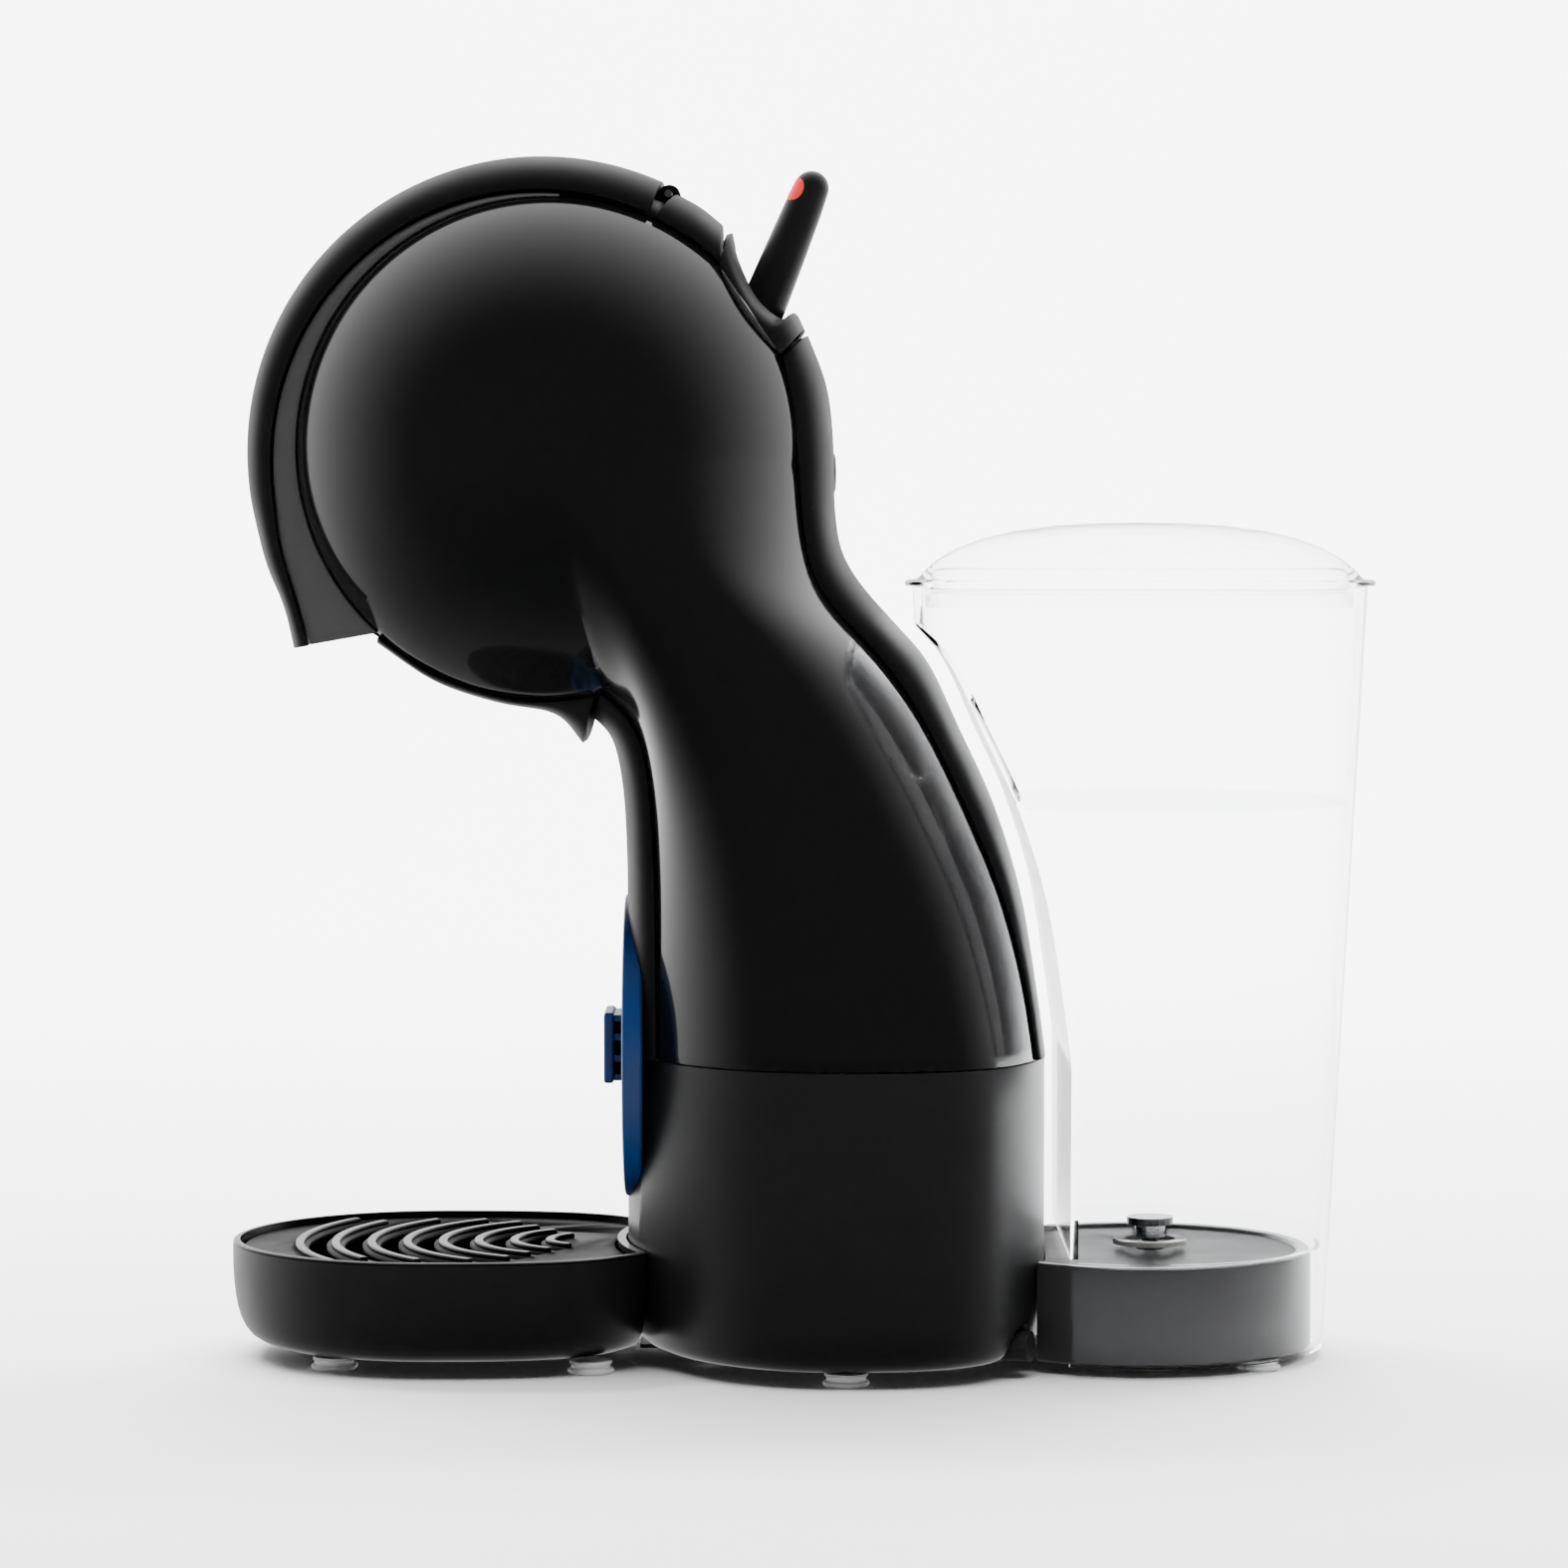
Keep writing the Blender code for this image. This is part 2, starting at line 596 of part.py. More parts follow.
def water_tank():
    tank = turned("water_tank", [(0.0, TANK_TOP), (TANK_TOP_RADIUS, TANK_TOP), (TANK_FOOT_RADIUS, 2.5),
                                 (0.0, 2.5)], (TANK_X, 0), "clear_plastic", steps=48)
    floor = TANK_FLOOR + TANK_WALL
    inside = turned("tank_inside", [(0.0, 192.0), (tank_radius(192.0) - TANK_WALL, 192.0),
                                    (tank_radius(floor) - TANK_WALL, floor), (0.0, floor)],
                    (TANK_X, 0), None, steps=48)
    combine(inside, saddle_cutter("saddle_inside", SADDLE_GAP + TANK_WALL))
    combine(tank, saddle_cutter("saddle_outside", SADDLE_GAP))
    combine(tank, inside)
    combine(tank, rod("tank_socket", (TANK_X, 0, -4.0), (TANK_X, 0, 27.8), 42.8, None, sides=44))
    combine(tank, rod("valve_hole", (VALVE_X, 0, 20.0), (VALVE_X, 0, 36.0), 4.2, None))
    turned("tank_valve", [(0.0, 32.8), (5.6, 32.8), (5.6, 31.0), (2.0, 31.0), (2.0, 26.6), (0.0, 26.6)],
           (VALVE_X, 0), "grey_plastic", steps=20)
    turned("tank_valve_spring", [(3.6, 30.7), (3.6, 28.0), (2.5, 28.0), (2.5, 30.7)], (VALVE_X, 0),
           "steel", steps=20)
    turned("tank_lid", [(0.0, 200.2), (20.0, 199.3), (36.0, 196.2), (46.0, 192.2), (51.6, 188.4),
                        (53.6, 186.5), (56.4, 186.4), (56.4, 185.1), (51.8, 185.1), (51.4, 180.0),
                        (50.0, 180.0), (50.2, 186.6), (44.8, 190.8), (35.4, 194.6), (20.0, 197.6),
                        (0.0, 198.5)], (TANK_X, 0), "clear_plastic", steps=40)


def tank_pedestal():
    drum = turned("tank_pedestal", [(0.0, DRUM_TOP), (DRUM_RADIUS - 1.0, DRUM_TOP),
                                    (DRUM_RADIUS, DRUM_TOP - 1.2), (DRUM_RADIUS, 2.7),
                                    (DRUM_RADIUS - 2.4, 2.7), (DRUM_RADIUS - 2.4, DRUM_TOP - 2.4),
                                    (0.0, DRUM_TOP - 2.4)], (TANK_X, 0), "grey_plastic", steps=40)
    combine(drum, column_cutter("column_for_drum", 0.4))
    combine(drum, rod("drum_port", (VALVE_X, 0, 22.6), (VALVE_X, 0, 30.0), 3.4, None))
    turned("pedestal_seal", [(9.0, 27.5), (9.0, 26.3), (6.2, 26.3), (6.2, 27.5)], (VALVE_X, 0),
           "silicone", steps=24)
    for index, y in enumerate((-27.0, 27.0), start=1):
        rod(f"pedestal_foot_{index}", (108, y, 0), (108, y, 2.4), 5.0, "clear_rubber", bevel=0.4)


# ---------------------------------------------------------------- controls and shared cutters

def controls():
    centre, out = Vector((7.8, 0.0, 212.0)), Vector((1.0, 0.0, 0.0))
    button = rod("power_button", centre - out * 4.0, centre + out * 0.3, 5.0, "satin_black", bevel=0.5)
    set_origin(button, centre)
    rod("status_light", (3.2, 0, 226.3), (6.0, 0, 226.9), 1.2, "clear_plastic", sides=12)


def shared_cutters():
    rod("cut_tool_seat", (-60, 0, TOOL_Z), (TOOL_BACK + 0.3, 0, TOOL_Z), TOOL_RADIUS + 0.4, None, sides=48)
    rod("cut_button", (-2, 0, 212), (14, 0, 212), 5.5, None)
    light = rod("cut_light", (-3, 0, 225.1), (9, 0, 227.4), 1.6, None, sides=12)
    combine(bpy.data.objects["cut_button"], light, "UNION")
    box("cut_lever_slot", (-17.2, -15.0, 238.0), (-3.6, 15.0, 266.0), None)
    rod("cut_outlet", (POD_X, 0, 150), (POD_X, 0, 180), 8.5, None, sides=24)
    rod("cut_cord_notch", (40, -35.2, 7.2), (68, -45.7, 7.2), 5.2, None)
    box("cut_hose_channel", (46.0, -5.0, 5.6), (64.0, 5.0, 18.0), None)


clear_scene()
PARTS = make_collection("pod_coffee_machine")
CUTTERS = make_collection("cutters")
shared_cutters()
side_shells()
spines()
nozzle_guard()
base_parts()
hood()
brewing_parts()
lever_parts()
works()
rinsing_tool()
drip_tray()
water_tank()
tank_pedestal()
controls()
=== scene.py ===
"""Looks for the pod coffee machine: finer shells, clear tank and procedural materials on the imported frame."""
import json
import math

import bmesh
import bpy
from mathutils import Matrix, Vector


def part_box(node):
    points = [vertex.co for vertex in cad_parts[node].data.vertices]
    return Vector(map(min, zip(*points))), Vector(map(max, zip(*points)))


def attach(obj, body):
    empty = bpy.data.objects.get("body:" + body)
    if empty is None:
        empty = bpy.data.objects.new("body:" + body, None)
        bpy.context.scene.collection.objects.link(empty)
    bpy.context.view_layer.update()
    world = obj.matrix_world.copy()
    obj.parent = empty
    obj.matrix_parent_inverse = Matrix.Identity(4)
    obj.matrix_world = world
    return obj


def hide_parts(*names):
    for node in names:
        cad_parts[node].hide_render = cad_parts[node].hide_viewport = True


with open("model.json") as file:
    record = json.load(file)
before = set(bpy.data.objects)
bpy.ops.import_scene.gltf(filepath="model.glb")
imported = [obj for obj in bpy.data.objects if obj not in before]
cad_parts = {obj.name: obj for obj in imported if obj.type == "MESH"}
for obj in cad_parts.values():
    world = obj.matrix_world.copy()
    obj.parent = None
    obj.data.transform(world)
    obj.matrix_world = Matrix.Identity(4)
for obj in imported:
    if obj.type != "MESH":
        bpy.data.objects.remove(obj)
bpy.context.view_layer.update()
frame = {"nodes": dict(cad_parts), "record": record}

MM = 0.001

# Driving sizes in millimetres, the same as the frame's.
HEAD = (-60.0, 217.5)
HEAD_EDGE = 58.5
HEAD_WIDTH = 68.0
SPINE_HALF = 33.0
WALL = 2.4
BASE_TOP = 74.0
BASE_CENTRE, BASE_DEPTH, BASE_WIDTH, BASE_BULGE = 8.0, 50.0, 61.0, 2.8
HINGE = (-31.6, 277.4)
TRAY_CENTRE, TRAY_FRONT, TRAY_BACK, TRAY_WIDTH, TRAY_TOP = -88.0, 49.4, 56.0, 48.0, 28.0
TRAY_BACK_POWER = 0.7
SLOT_CENTRE, SLOT_PITCH, SLOT_COUNT = -50.0, 8.6, 7
TANK_X, TANK_TOP_RADIUS, TANK_FOOT_RADIUS, TANK_TOP = 81.0, 54.6, 44.6, 184.8
TANK_FLOOR, TANK_WALL, SADDLE_GAP = 28.0, 2.0, 4.5
WATER_LEVEL = 133.0
DRUM_RADIUS, DRUM_TOP = 41.6, 26.0
VALVE_X = 84.0
TOOL_Z, TOOL_RADIUS, TOOL_FACE = 74.5, 36.5, -42.6
POD_X = -87.0
AIR_STRENGTH = 2.6
CHEEK_DEPTH = (31.8, 33.2)
CHEEK_END = 227.3
SEAM_DEPTH = (28.5, 29.6)
HINGE_BARREL = (2.7, 14.0)

BACK_LINE = [(1.4, 244.7), (5.8, 233.0), (7.4, 220.0), (7.7, 205.0), (9.4, 193.5), (14.4, 185.0),
             (22.5, 175.8), (30.2, 166.7), (37.6, 151.0), (45.8, 133.0), (52.2, 112.0),
             (56.0, 89.0), (58.0, 74.0)]
BACK_EDGE = [(-5.0, 238.2), (-2.6, 227.0), (-1.4, 213.5), (-0.3, 199.0), (2.2, 187.5), (8.0, 178.8),
             (15.7, 170.8), (23.0, 161.7), (30.0, 150.0), (39.5, 130.0), (47.0, 111.0),
             (52.0, 91.0), (54.6, 74.0)]
FRONT_LINE = [(-50.0, 153.6), (-45.9, 149.4), (-43.8, 142.0), (-42.6, 132.0), (-42.0, 116.0),
              (-42.0, 95.0), (-42.0, 74.0)]
FRONT_EDGE = [(-47.0, 160.5), (-40.6, 154.4), (-37.2, 146.5), (-35.4, 133.7), (-34.4, 114.0),
              (-34.1, 95.0), (-34.0, 74.0)]
MIDDLE = [(-60.0, 217.5, 68.0), (-42.0, 196.0, 65.6), (-27.0, 176.0, 63.4), (-15.0, 157.0, 61.8),
          (-6.0, 137.0, 61.0), (1.0, 116.0, 60.9), (5.5, 95.0, 61.0), (8.0, 74.0, 61.0)]


# ---------------------------------------------------------------- materials

class Nodes:
    """A small wrapper that adds and joins shader nodes."""

    def __init__(self, name):
        self.material = bpy.data.materials.new(name)
        self.material.use_nodes = True
        self.tree = self.material.node_tree
        self.shader = self.tree.nodes["Principled BSDF"]
        self.place = self.add("ShaderNodeTexCoord").outputs["Object"]

    def add(self, kind, **values):
        node = self.tree.nodes.new(kind)
        for key, value in values.items():
            if key in node.inputs:
                node.inputs[key].default_value = value
            else:
                setattr(node, key, value)
        return node

    def join(self, source, target):
        self.tree.links.new(source, target)

    def noise(self, scale, detail=3.0, roughness=0.5, stretch=(1.0, 1.0, 1.0)):
        mapping = self.add("ShaderNodeMapping", Scale=stretch)
        self.join(self.place, mapping.inputs["Vector"])
        node = self.add("ShaderNodeTexNoise", Scale=scale, Detail=detail, Roughness=roughness)
        self.join(mapping.outputs["Vector"], node.inputs["Vector"])
        return node.outputs["Fac"]

    def spread(self, factor, low, high):
        node = self.add("ShaderNodeMapRange")
        node.inputs["From Min"].default_value = 0.3
        node.inputs["From Max"].default_value = 0.7
        node.inputs["To Min"].default_value = low
        node.inputs["To Max"].default_value = high
        self.join(factor, node.inputs["Value"])
        return node.outputs["Result"]

    def tint(self, factor, first, second):
        node = self.add("ShaderNodeMix", data_type="RGBA")
        for socket in node.inputs:
            if socket.type == "RGBA" and socket.name == "A":
                socket.default_value = (*first, 1.0)
            if socket.type == "RGBA" and socket.name == "B":
                socket.default_value = (*second, 1.0)
        self.join(factor, node.inputs["Factor"])
        return [out for out in node.outputs if out.type == "RGBA"][0]

    def bump(self, height, strength, distance):
        node = self.add("ShaderNodeBump", Strength=strength, Distance=distance)
        self.join(height, node.inputs["Height"])
        self.join(node.outputs["Normal"], self.shader.inputs["Normal"])

    def set(self, **values):
        for key, value in values.items():
            self.shader.inputs[key.replace("_", " ")].default_value = value


def plastic(name, dark, light, rough, grain_scale, grain, coat=0.0, metallic=0.0):
    """A moulded plastic: slow colour drift, uneven roughness and a fine surface grain."""
    made = Nodes(name)
    drift = made.noise(18.0, detail=2.0)
    made.join(made.tint(drift, dark, light), made.shader.inputs["Base Color"])
    patchy = made.noise(60.0, detail=4.0)
    made.join(made.spread(patchy, rough[0], rough[1]), made.shader.inputs["Roughness"])
    made.bump(made.noise(grain_scale, detail=2.0), grain, 0.0002)
    made.set(Metallic=metallic)
    if coat:
        made.set(Coat_Weight=coat, Coat_Roughness=0.03)
    return made.material


def clear(name, colour, rough, index):
    """A clear moulding with faint flow lines."""
    made = Nodes(name)
    flow = made.noise(40.0, detail=2.0, stretch=(1.0, 1.0, 0.15))
    made.join(made.tint(flow, colour, tuple(min(1.0, part * 1.01) for part in colour)),
              made.shader.inputs["Base Color"])
    made.join(made.spread(flow, rough[0], rough[1]), made.shader.inputs["Roughness"])
    made.bump(flow, 0.02, 0.0001)
    made.set(Transmission_Weight=1.0, IOR=index)
    return made.material


def brushed(name, colour, rough):
    """Turned or drawn metal with fine lines."""
    made = Nodes(name)
    lines = made.noise(300.0, detail=4.0, stretch=(1.0, 1.0, 12.0))
    made.join(made.tint(lines, colour, tuple(part * 0.8 for part in colour)),
              made.shader.inputs["Base Color"])
    made.join(made.spread(lines, rough[0], rough[1]), made.shader.inputs["Roughness"])
    made.bump(lines, 0.1, 0.0001)
    made.set(Metallic=1.0)
    return made.material


def adjust(material, socket, value):
    material.node_tree.nodes["Principled BSDF"].inputs[socket].default_value = value


GLOSS = plastic("gloss_black_shell", (0.0022, 0.0022, 0.0025), (0.003, 0.003, 0.0033), (0.10, 0.14), 25.0,
                0.0015, coat=0.3)
MATTE = plastic("matte_black_moulding", (0.0045, 0.0045, 0.0048), (0.006, 0.006, 0.0065),
                (0.42, 0.50), 2600.0, 0.10)
SATIN = plastic("satin_black_moulding", (0.006, 0.006, 0.0065), (0.009, 0.009, 0.0095),
                (0.26, 0.34), 2200.0, 0.05)
BASE = plastic("base_black_moulding", (0.006, 0.006, 0.0063), (0.0075, 0.0075, 0.008),
               (0.34, 0.40), 2400.0, 0.06)
TRAY_IN = plastic("tray_gloss_black", (0.003, 0.003, 0.003), (0.004, 0.004, 0.004), (0.16, 0.22), 900.0, 0.02)
adjust(TRAY_IN, "Specular IOR Level", 0.09)
adjust(MATTE, "Specular IOR Level", 0.11)
adjust(BASE, "Specular IOR Level", 0.4)
GREY = plastic("dark_grey_moulding", (0.022, 0.022, 0.023), (0.03, 0.03, 0.031), (0.30, 0.38), 2200.0, 0.06)
BLUE = plastic("dark_blue_moulding", (0.0, 0.024, 0.115), (0.0, 0.029, 0.135), (0.36, 0.44), 2200.0, 0.08)
RED_MARK = plastic("red_inlay", (0.85, 0.02, 0.02), (0.95, 0.035, 0.03), (0.3, 0.36), 1500.0, 0.03)
BLUE_MARK = plastic("blue_inlay", (0.01, 0.08, 0.65), (0.02, 0.1, 0.75), (0.3, 0.36), 1500.0, 0.03)
RUBBER = plastic("black_rubber", (0.012, 0.012, 0.012), (0.018, 0.018, 0.018), (0.6, 0.75), 1800.0, 0.15)
SILICONE = plastic("milky_silicone", (0.55, 0.54, 0.50), (0.65, 0.64, 0.60), (0.4, 0.5), 900.0, 0.05)
BOARD = plastic("circuit_board", (0.01, 0.09, 0.03), (0.015, 0.13, 0.045), (0.35, 0.5), 700.0, 0.1)
STEEL = brushed("brushed_steel", (0.56, 0.56, 0.57), (0.22, 0.36))
BRASS = brushed("machined_brass", (0.66, 0.48, 0.2), (0.25, 0.4))
CLEAR = clear("clear_tank_plastic", (0.965, 0.97, 0.975), (0.01, 0.03), 1.10)
THIN_CLEAR = clear("clear_tank_floor", (0.94, 0.945, 0.95), (0.0, 0.01), 1.0)
WATER = clear("water", (0.985, 0.99, 0.995), (0.0, 0.01), 1.0)
# Water surface: a thin sheet tinted grey that does not bend light. The grey paints the line that the water
# surface reflects.
SURFACE_PAINTED_REFLECTION = clear("water_surface", (0.88, 0.885, 0.89), (0.0, 0.01), 1.0)
FOOT = clear("clear_soft_foot", (0.93, 0.93, 0.93), (0.35, 0.45), 1.3)
adjust(FOOT, "Transmission Weight", 0.15)
DEEP = plastic("shaded_black_moulding", (0.004, 0.004, 0.0042), (0.006, 0.006, 0.0062),
               (0.40, 0.50), 1800.0, 0.05)
adjust(DEEP, "Specular IOR Level", 0.04)
# Bezel rim beads: a lighter grey gloss that paints the highlight of light caught on the bezel's rounded near
# rims.
RIM_PAINTED_HIGHLIGHT = plastic("bezel_rim_painted_highlight", (0.02, 0.02, 0.021), (0.028, 0.028, 0.029),
              (0.14, 0.2), 1200.0, 0.02, coat=0.6)
# Hood cheeks: a lighter grey than the other black plastics. This is painted light, standing in for how brightly
# the cheeks are lit.
CHEEK_PAINTED_LIGHT = plastic("hood_cheek_painted_light", (0.036, 0.036, 0.037), (0.044, 0.044, 0.045), (0.34, 0.42), 2000.0, 0.05)

BY_SLOT = {"gloss_black": GLOSS, "matte_black": MATTE, "satin_black": SATIN, "grey_plastic": GREY,
           "blue_plastic": BLUE, "clear_plastic": CLEAR, "clear_rubber": FOOT, "dark_rubber": RUBBER,
           "steel": STEEL, "brass": BRASS, "board_green": BOARD, "silicone": SILICONE}


def dress_frame():
    """Give every carried-over CAD node its procedural material."""
    slots = {part["node"]: part.get("material_slot") for part in frame["record"]["subparts"]}
    for name, node in frame["nodes"].items():
        finish = BY_SLOT.get(slots.get(name), MATTE)
        for slot in node.material_slots:
            slot.link = "OBJECT"
            slot.material = finish


# ---------------------------------------------------------------- mesh helpers

def finish_piece(name, shape, finish, body, nodes=(), angle=32.0):
    """Store a bmesh in millimetres as a piece in metres that rides on a body."""
    bmesh.ops.scale(shape, vec=(MM, MM, MM), verts=shape.verts)
    data = bpy.data.meshes.new(name)
    shape.to_mesh(data)
    shape.free()
    data.shade_smooth()
    data.set_sharp_from_angle(angle=math.radians(angle))
    data.materials.append(finish)
    piece = bpy.data.objects.new(name, data)
    bpy.context.scene.collection.objects.link(piece)
    if body:
        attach(piece, body)
        if nodes:
            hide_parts(*nodes)
    return piece


def skin(shape, rows, closed=False, cap=False):
    """Add faces between rows of points; closed joins the ends of every row."""
    grid = [[shape.verts.new(point) for point in row] for row in rows]
    width = len(rows[0])
    for lower, upper in zip(grid, grid[1:]):
        for index in range(width if closed else width - 1):
            after = (index + 1) % width
            shape.faces.new((lower[index], lower[after], upper[after], upper[index]))
    if cap:
        shape.faces.new(list(reversed(grid[0])))
        shape.faces.new(grid[-1])


def solid(rows, closed=True, cap=True):
    """A closed bmesh skinned over rows of points."""
    shape = bmesh.new()
    skin(shape, rows, closed, cap)
    bmesh.ops.remove_doubles(shape, verts=shape.verts, dist=0.0005)
    bmesh.ops.recalc_face_normals(shape, faces=shape.faces)
    return shape


def sheet(rows, inside, closed=False):
    """An open bmesh whose faces look away from a point inside it."""
    shape = bmesh.new()
    skin(shape, rows, closed)
    bmesh.ops.remove_doubles(shape, verts=shape.verts, dist=0.0005)
    shape.normal_update()
    centre = Vector(inside)
    total = sum(face.calc_area() * face.normal.dot(face.calc_center_median() - centre)
                for face in shape.faces)
    if total < 0.0:
        bmesh.ops.reverse_faces(shape, faces=shape.faces)
    return shape


def turned(profile, centre, steps=128):
    """A closed bmesh turned about a vertical axis from (radius, height) points."""
    shape = bmesh.new()
    rows = []
    for step in range(steps):
        angle = 2 * math.pi * step / steps
        rows.append([(centre[0] + radius * math.cos(angle), centre[1] + radius * math.sin(angle), height)
                     for radius, height in profile])
    rows.append(rows[0])
    skin(shape, rows, closed=profile[0][0] > 0.0)
    bmesh.ops.remove_doubles(shape, verts=shape.verts, dist=0.0005)
    bmesh.ops.recalc_face_normals(shape, faces=shape.faces)
    return shape


def rod_shape(start, end, radius, sides=48, end_radius=None):
    shape = bmesh.new()
    start, end = Vector(start), Vector(end)
    along = end - start
    bmesh.ops.create_cone(shape, cap_ends=True, segments=sides, radius1=radius,
                          radius2=radius if end_radius is None else end_radius, depth=along.length)
    turn = along.to_track_quat("Z", "Y").to_matrix().to_4x4()
    bmesh.ops.transform(shape, matrix=Matrix.Translation((start + end) / 2) @ turn, verts=shape.verts)
    return shape


def box_shape(low, high):
    shape = bmesh.new()
    bmesh.ops.create_cube(shape, size=1.0)
    bmesh.ops.scale(shape, vec=Vector(high) - Vector(low), verts=shape.verts)
    bmesh.ops.translate(shape, vec=(Vector(low) + Vector(high)) / 2, verts=shape.verts)
    return shape


def modify(piece, kind, **values):
    made = piece.modifiers.new(kind.title(), kind)
    for key, value in values.items():
        setattr(made, key, value)
    return made


def soften(piece, width, segments=3):
    modify(piece, "BEVEL", width=width * MM, segments=segments, limit_method="ANGLE",
           angle_limit=math.radians(35), harden_normals=True)


def carve(piece, *shapes, operation="DIFFERENCE"):
    """Cut shapes out of a piece, or join them on, and remove them afterwards."""
    for shape in shapes:
        tool = finish_piece("tool", shape, MATTE, None)
        modify(piece, "BOOLEAN", operation=operation, object=tool, solver="EXACT")
        settle(piece)
        bpy.data.objects.remove(tool)


def settle(piece):
    """Apply a piece's modifiers."""
    bpy.context.view_layer.update()
    graph = bpy.context.evaluated_depsgraph_get()
    data = bpy.data.meshes.new_from_object(piece.evaluated_get(graph))
    piece.modifiers.clear()
    piece.data = data


def thicken(piece, thickness, rim=0.0):
    modify(piece, "SOLIDIFY", thickness=thickness * MM, offset=-1.0)
    if rim:
        modify(piece, "BEVEL", width=rim * MM, segments=2, limit_method="ANGLE", angle_limit=math.radians(50))
    settle(piece)
    piece.data.shade_smooth()
    piece.data.set_sharp_from_angle(angle=math.radians(40))


def smooth_line(points, parts):
    """Catmull-Rom curve through points, with a number of parts between each pair."""
    vectors = [Vector(point) for point in points]
    ends = [vectors[0] * 2 - vectors[1]] + vectors + [vectors[-1] * 2 - vectors[-2]]
    line = []
    for a, b, c, d in zip(ends, ends[1:], ends[2:], ends[3:]):
        for step in range(parts):
            t = step / parts
            line.append(0.5 * (2 * b + (c - a) * t + (2 * a - 5 * b + 4 * c - d) * t ** 2
                               + (3 * b - a - 3 * c + d) * t ** 3))
    return line + [vectors[-1]]


def resample(points, count):
    """The smooth curve through points, read at evenly spaced places."""
    fine = smooth_line(points, 16)
    travelled = [0.0]
    for start, end in zip(fine, fine[1:]):
        travelled.append(travelled[-1] + (end - start).length)
    places = []
    index = 0
    for step in range(count):
        wanted = travelled[-1] * step / (count - 1)
        while index < len(fine) - 2 and travelled[index + 1] < wanted:
            index += 1
        share = (wanted - travelled[index]) / (travelled[index + 1] - travelled[index])
        places.append(fine[index].lerp(fine[index + 1], share))
    return places


def relax(points, rounds):
    """Even out small kinks of an outline, keeping its ends."""
    for _ in range(rounds):
        inner = [(a + 2 * b + c) / 4 for a, b, c in zip(points, points[1:], points[2:])]
        points = [points[0]] + inner + [points[-1]]
    return points


def head_point(radius, degrees):
    angle = math.radians(degrees)
    return Vector((HEAD[0] + radius * math.cos(angle), HEAD[1] + radius * math.sin(angle)))


def super_section(centre, front, back, width, front_power, back_power, grow, count):
    """Plan outline made of two half superellipses that meet at their widest place."""
    outline = []
    for index in range(count):
        angle = 2 * math.pi * index / count
        power = back_power if math.cos(angle) > 0 else front_power
        reach = (back if math.cos(angle) > 0 else front) + grow
        side = math.copysign(abs(math.cos(angle)) ** power, math.cos(angle))
        across = math.copysign(abs(math.sin(angle)) ** power, math.sin(angle))
        outline.append((centre + reach * side, (width + grow) * across))
    return outline


def base_rows(profile, count=160):
    return [[(x, y, height) for x, y in super_section(BASE_CENTRE, BASE_DEPTH, BASE_DEPTH, BASE_WIDTH,
                                                      1.0, 2 / BASE_BULGE, grow, count)]
            for grow, height in profile]


def tray_rows(profile, count=160):
    return [[(x, y, height) for x, y in super_section(TRAY_CENTRE, TRAY_FRONT, TRAY_BACK, TRAY_WIDTH,
                                                      1.0, TRAY_BACK_POWER, grow, count)]
            for grow, height in profile]


def column(grow, low=-6.0, high=60.0):
    return solid(base_rows([(grow, low), (grow, high)]))


# ---------------------------------------------------------------- body shells

def shell_lines(up=48, around=110):
    """Edge, middle and roundness along a side shell: up the front, round the head, down the back."""
    middle = relax(resample(MIDDLE, up), 6)
    front = relax(resample(FRONT_EDGE, up), 3)
    back = relax(resample(BACK_EDGE[2:], up), 3)
    lines = [(front[index], middle[index], 2.0) for index in range(up - 1, 0, -1)]
    first, last = 283.0, -4.0
    for index in range(around):
        degrees = first + (last - first) * index / (around - 1)
        lines.append((head_point(HEAD_EDGE, degrees), middle[0], 2.0))
    for index in range(1, up):
        square = 2.0 + (BASE_BULGE - 2.0) * (index / (up - 1)) ** 2
        lines.append((back[index], middle[index], square))
    return lines


def shell_rows(side, columns=26):
    """Rows of a side shell, each swept from the seam out to its widest place."""
    rows = []
    for edge, centre, power in shell_lines():
        width = centre[2]
        start = math.asin((SPINE_HALF / width) ** (power / 2))
        row = []
        for column_index in range(columns):
            angle = start + (math.pi / 2 - start) * column_index / (columns - 1)
            share = max(math.cos(angle), 0.0) ** (2 / power) / math.cos(start) ** (2 / power)
            x = centre[0] + (edge[0] - centre[0]) * share
            z = centre[1] + (edge[1] - centre[1]) * share
            row.append((x, side * width * math.sin(angle) ** (2 / power), z))
        rows.append(row)
    return rows


def side_shells():
    for name, side in (("side_shell_right", -1), ("side_shell_left", 1)):
        shape = sheet(shell_rows(side), (-20.0, 0.0, 150.0))
        shell = finish_piece(f"{name}_skin", shape, GLOSS, "body", (name,))
        thicken(shell, WALL, rim=0.35)


def seam_ribs():
    """A thin rib inside each side shell, along its whole edge, that closes the seam to the spines."""
    for name, side in (("seam_rib_right", -1), ("seam_rib_left", 1)):
        rows = []
        for edge, centre, _ in shell_lines():
            outward = (edge - Vector(centre[:2])).normalized()
            bearing = math.degrees(math.atan2(edge[1] - HEAD[1], edge[0] - HEAD[0])) % 360.0
            under_hood = 60.0 < bearing < 227.0 and edge[1] > 168.0
            reach = edge + outward * (1.5 if under_hood else 0.9)
            root = edge - outward * 1.6
            inner, outer = side * SEAM_DEPTH[0], side * SEAM_DEPTH[1]
            rows.append([(reach[0], inner, reach[1]), (reach[0], outer, reach[1]),
                         (root[0], outer, root[1]), (root[0], inner, root[1])])
        finish_piece(name, solid(rows), MATTE, "body")


def crown_row(side, top, half, steps, roundness):
    """One arched row across the machine, from one side point over the top point to the other side."""
    row = []
    for step in range(steps):
        angle = math.pi * step / (steps - 1)
        place = side + (top - side) * math.sin(angle) ** roundness
        reach = math.copysign(abs(math.cos(angle)) ** roundness, math.cos(angle))
        row.append((place[0], -half * reach, place[1]))
    return row


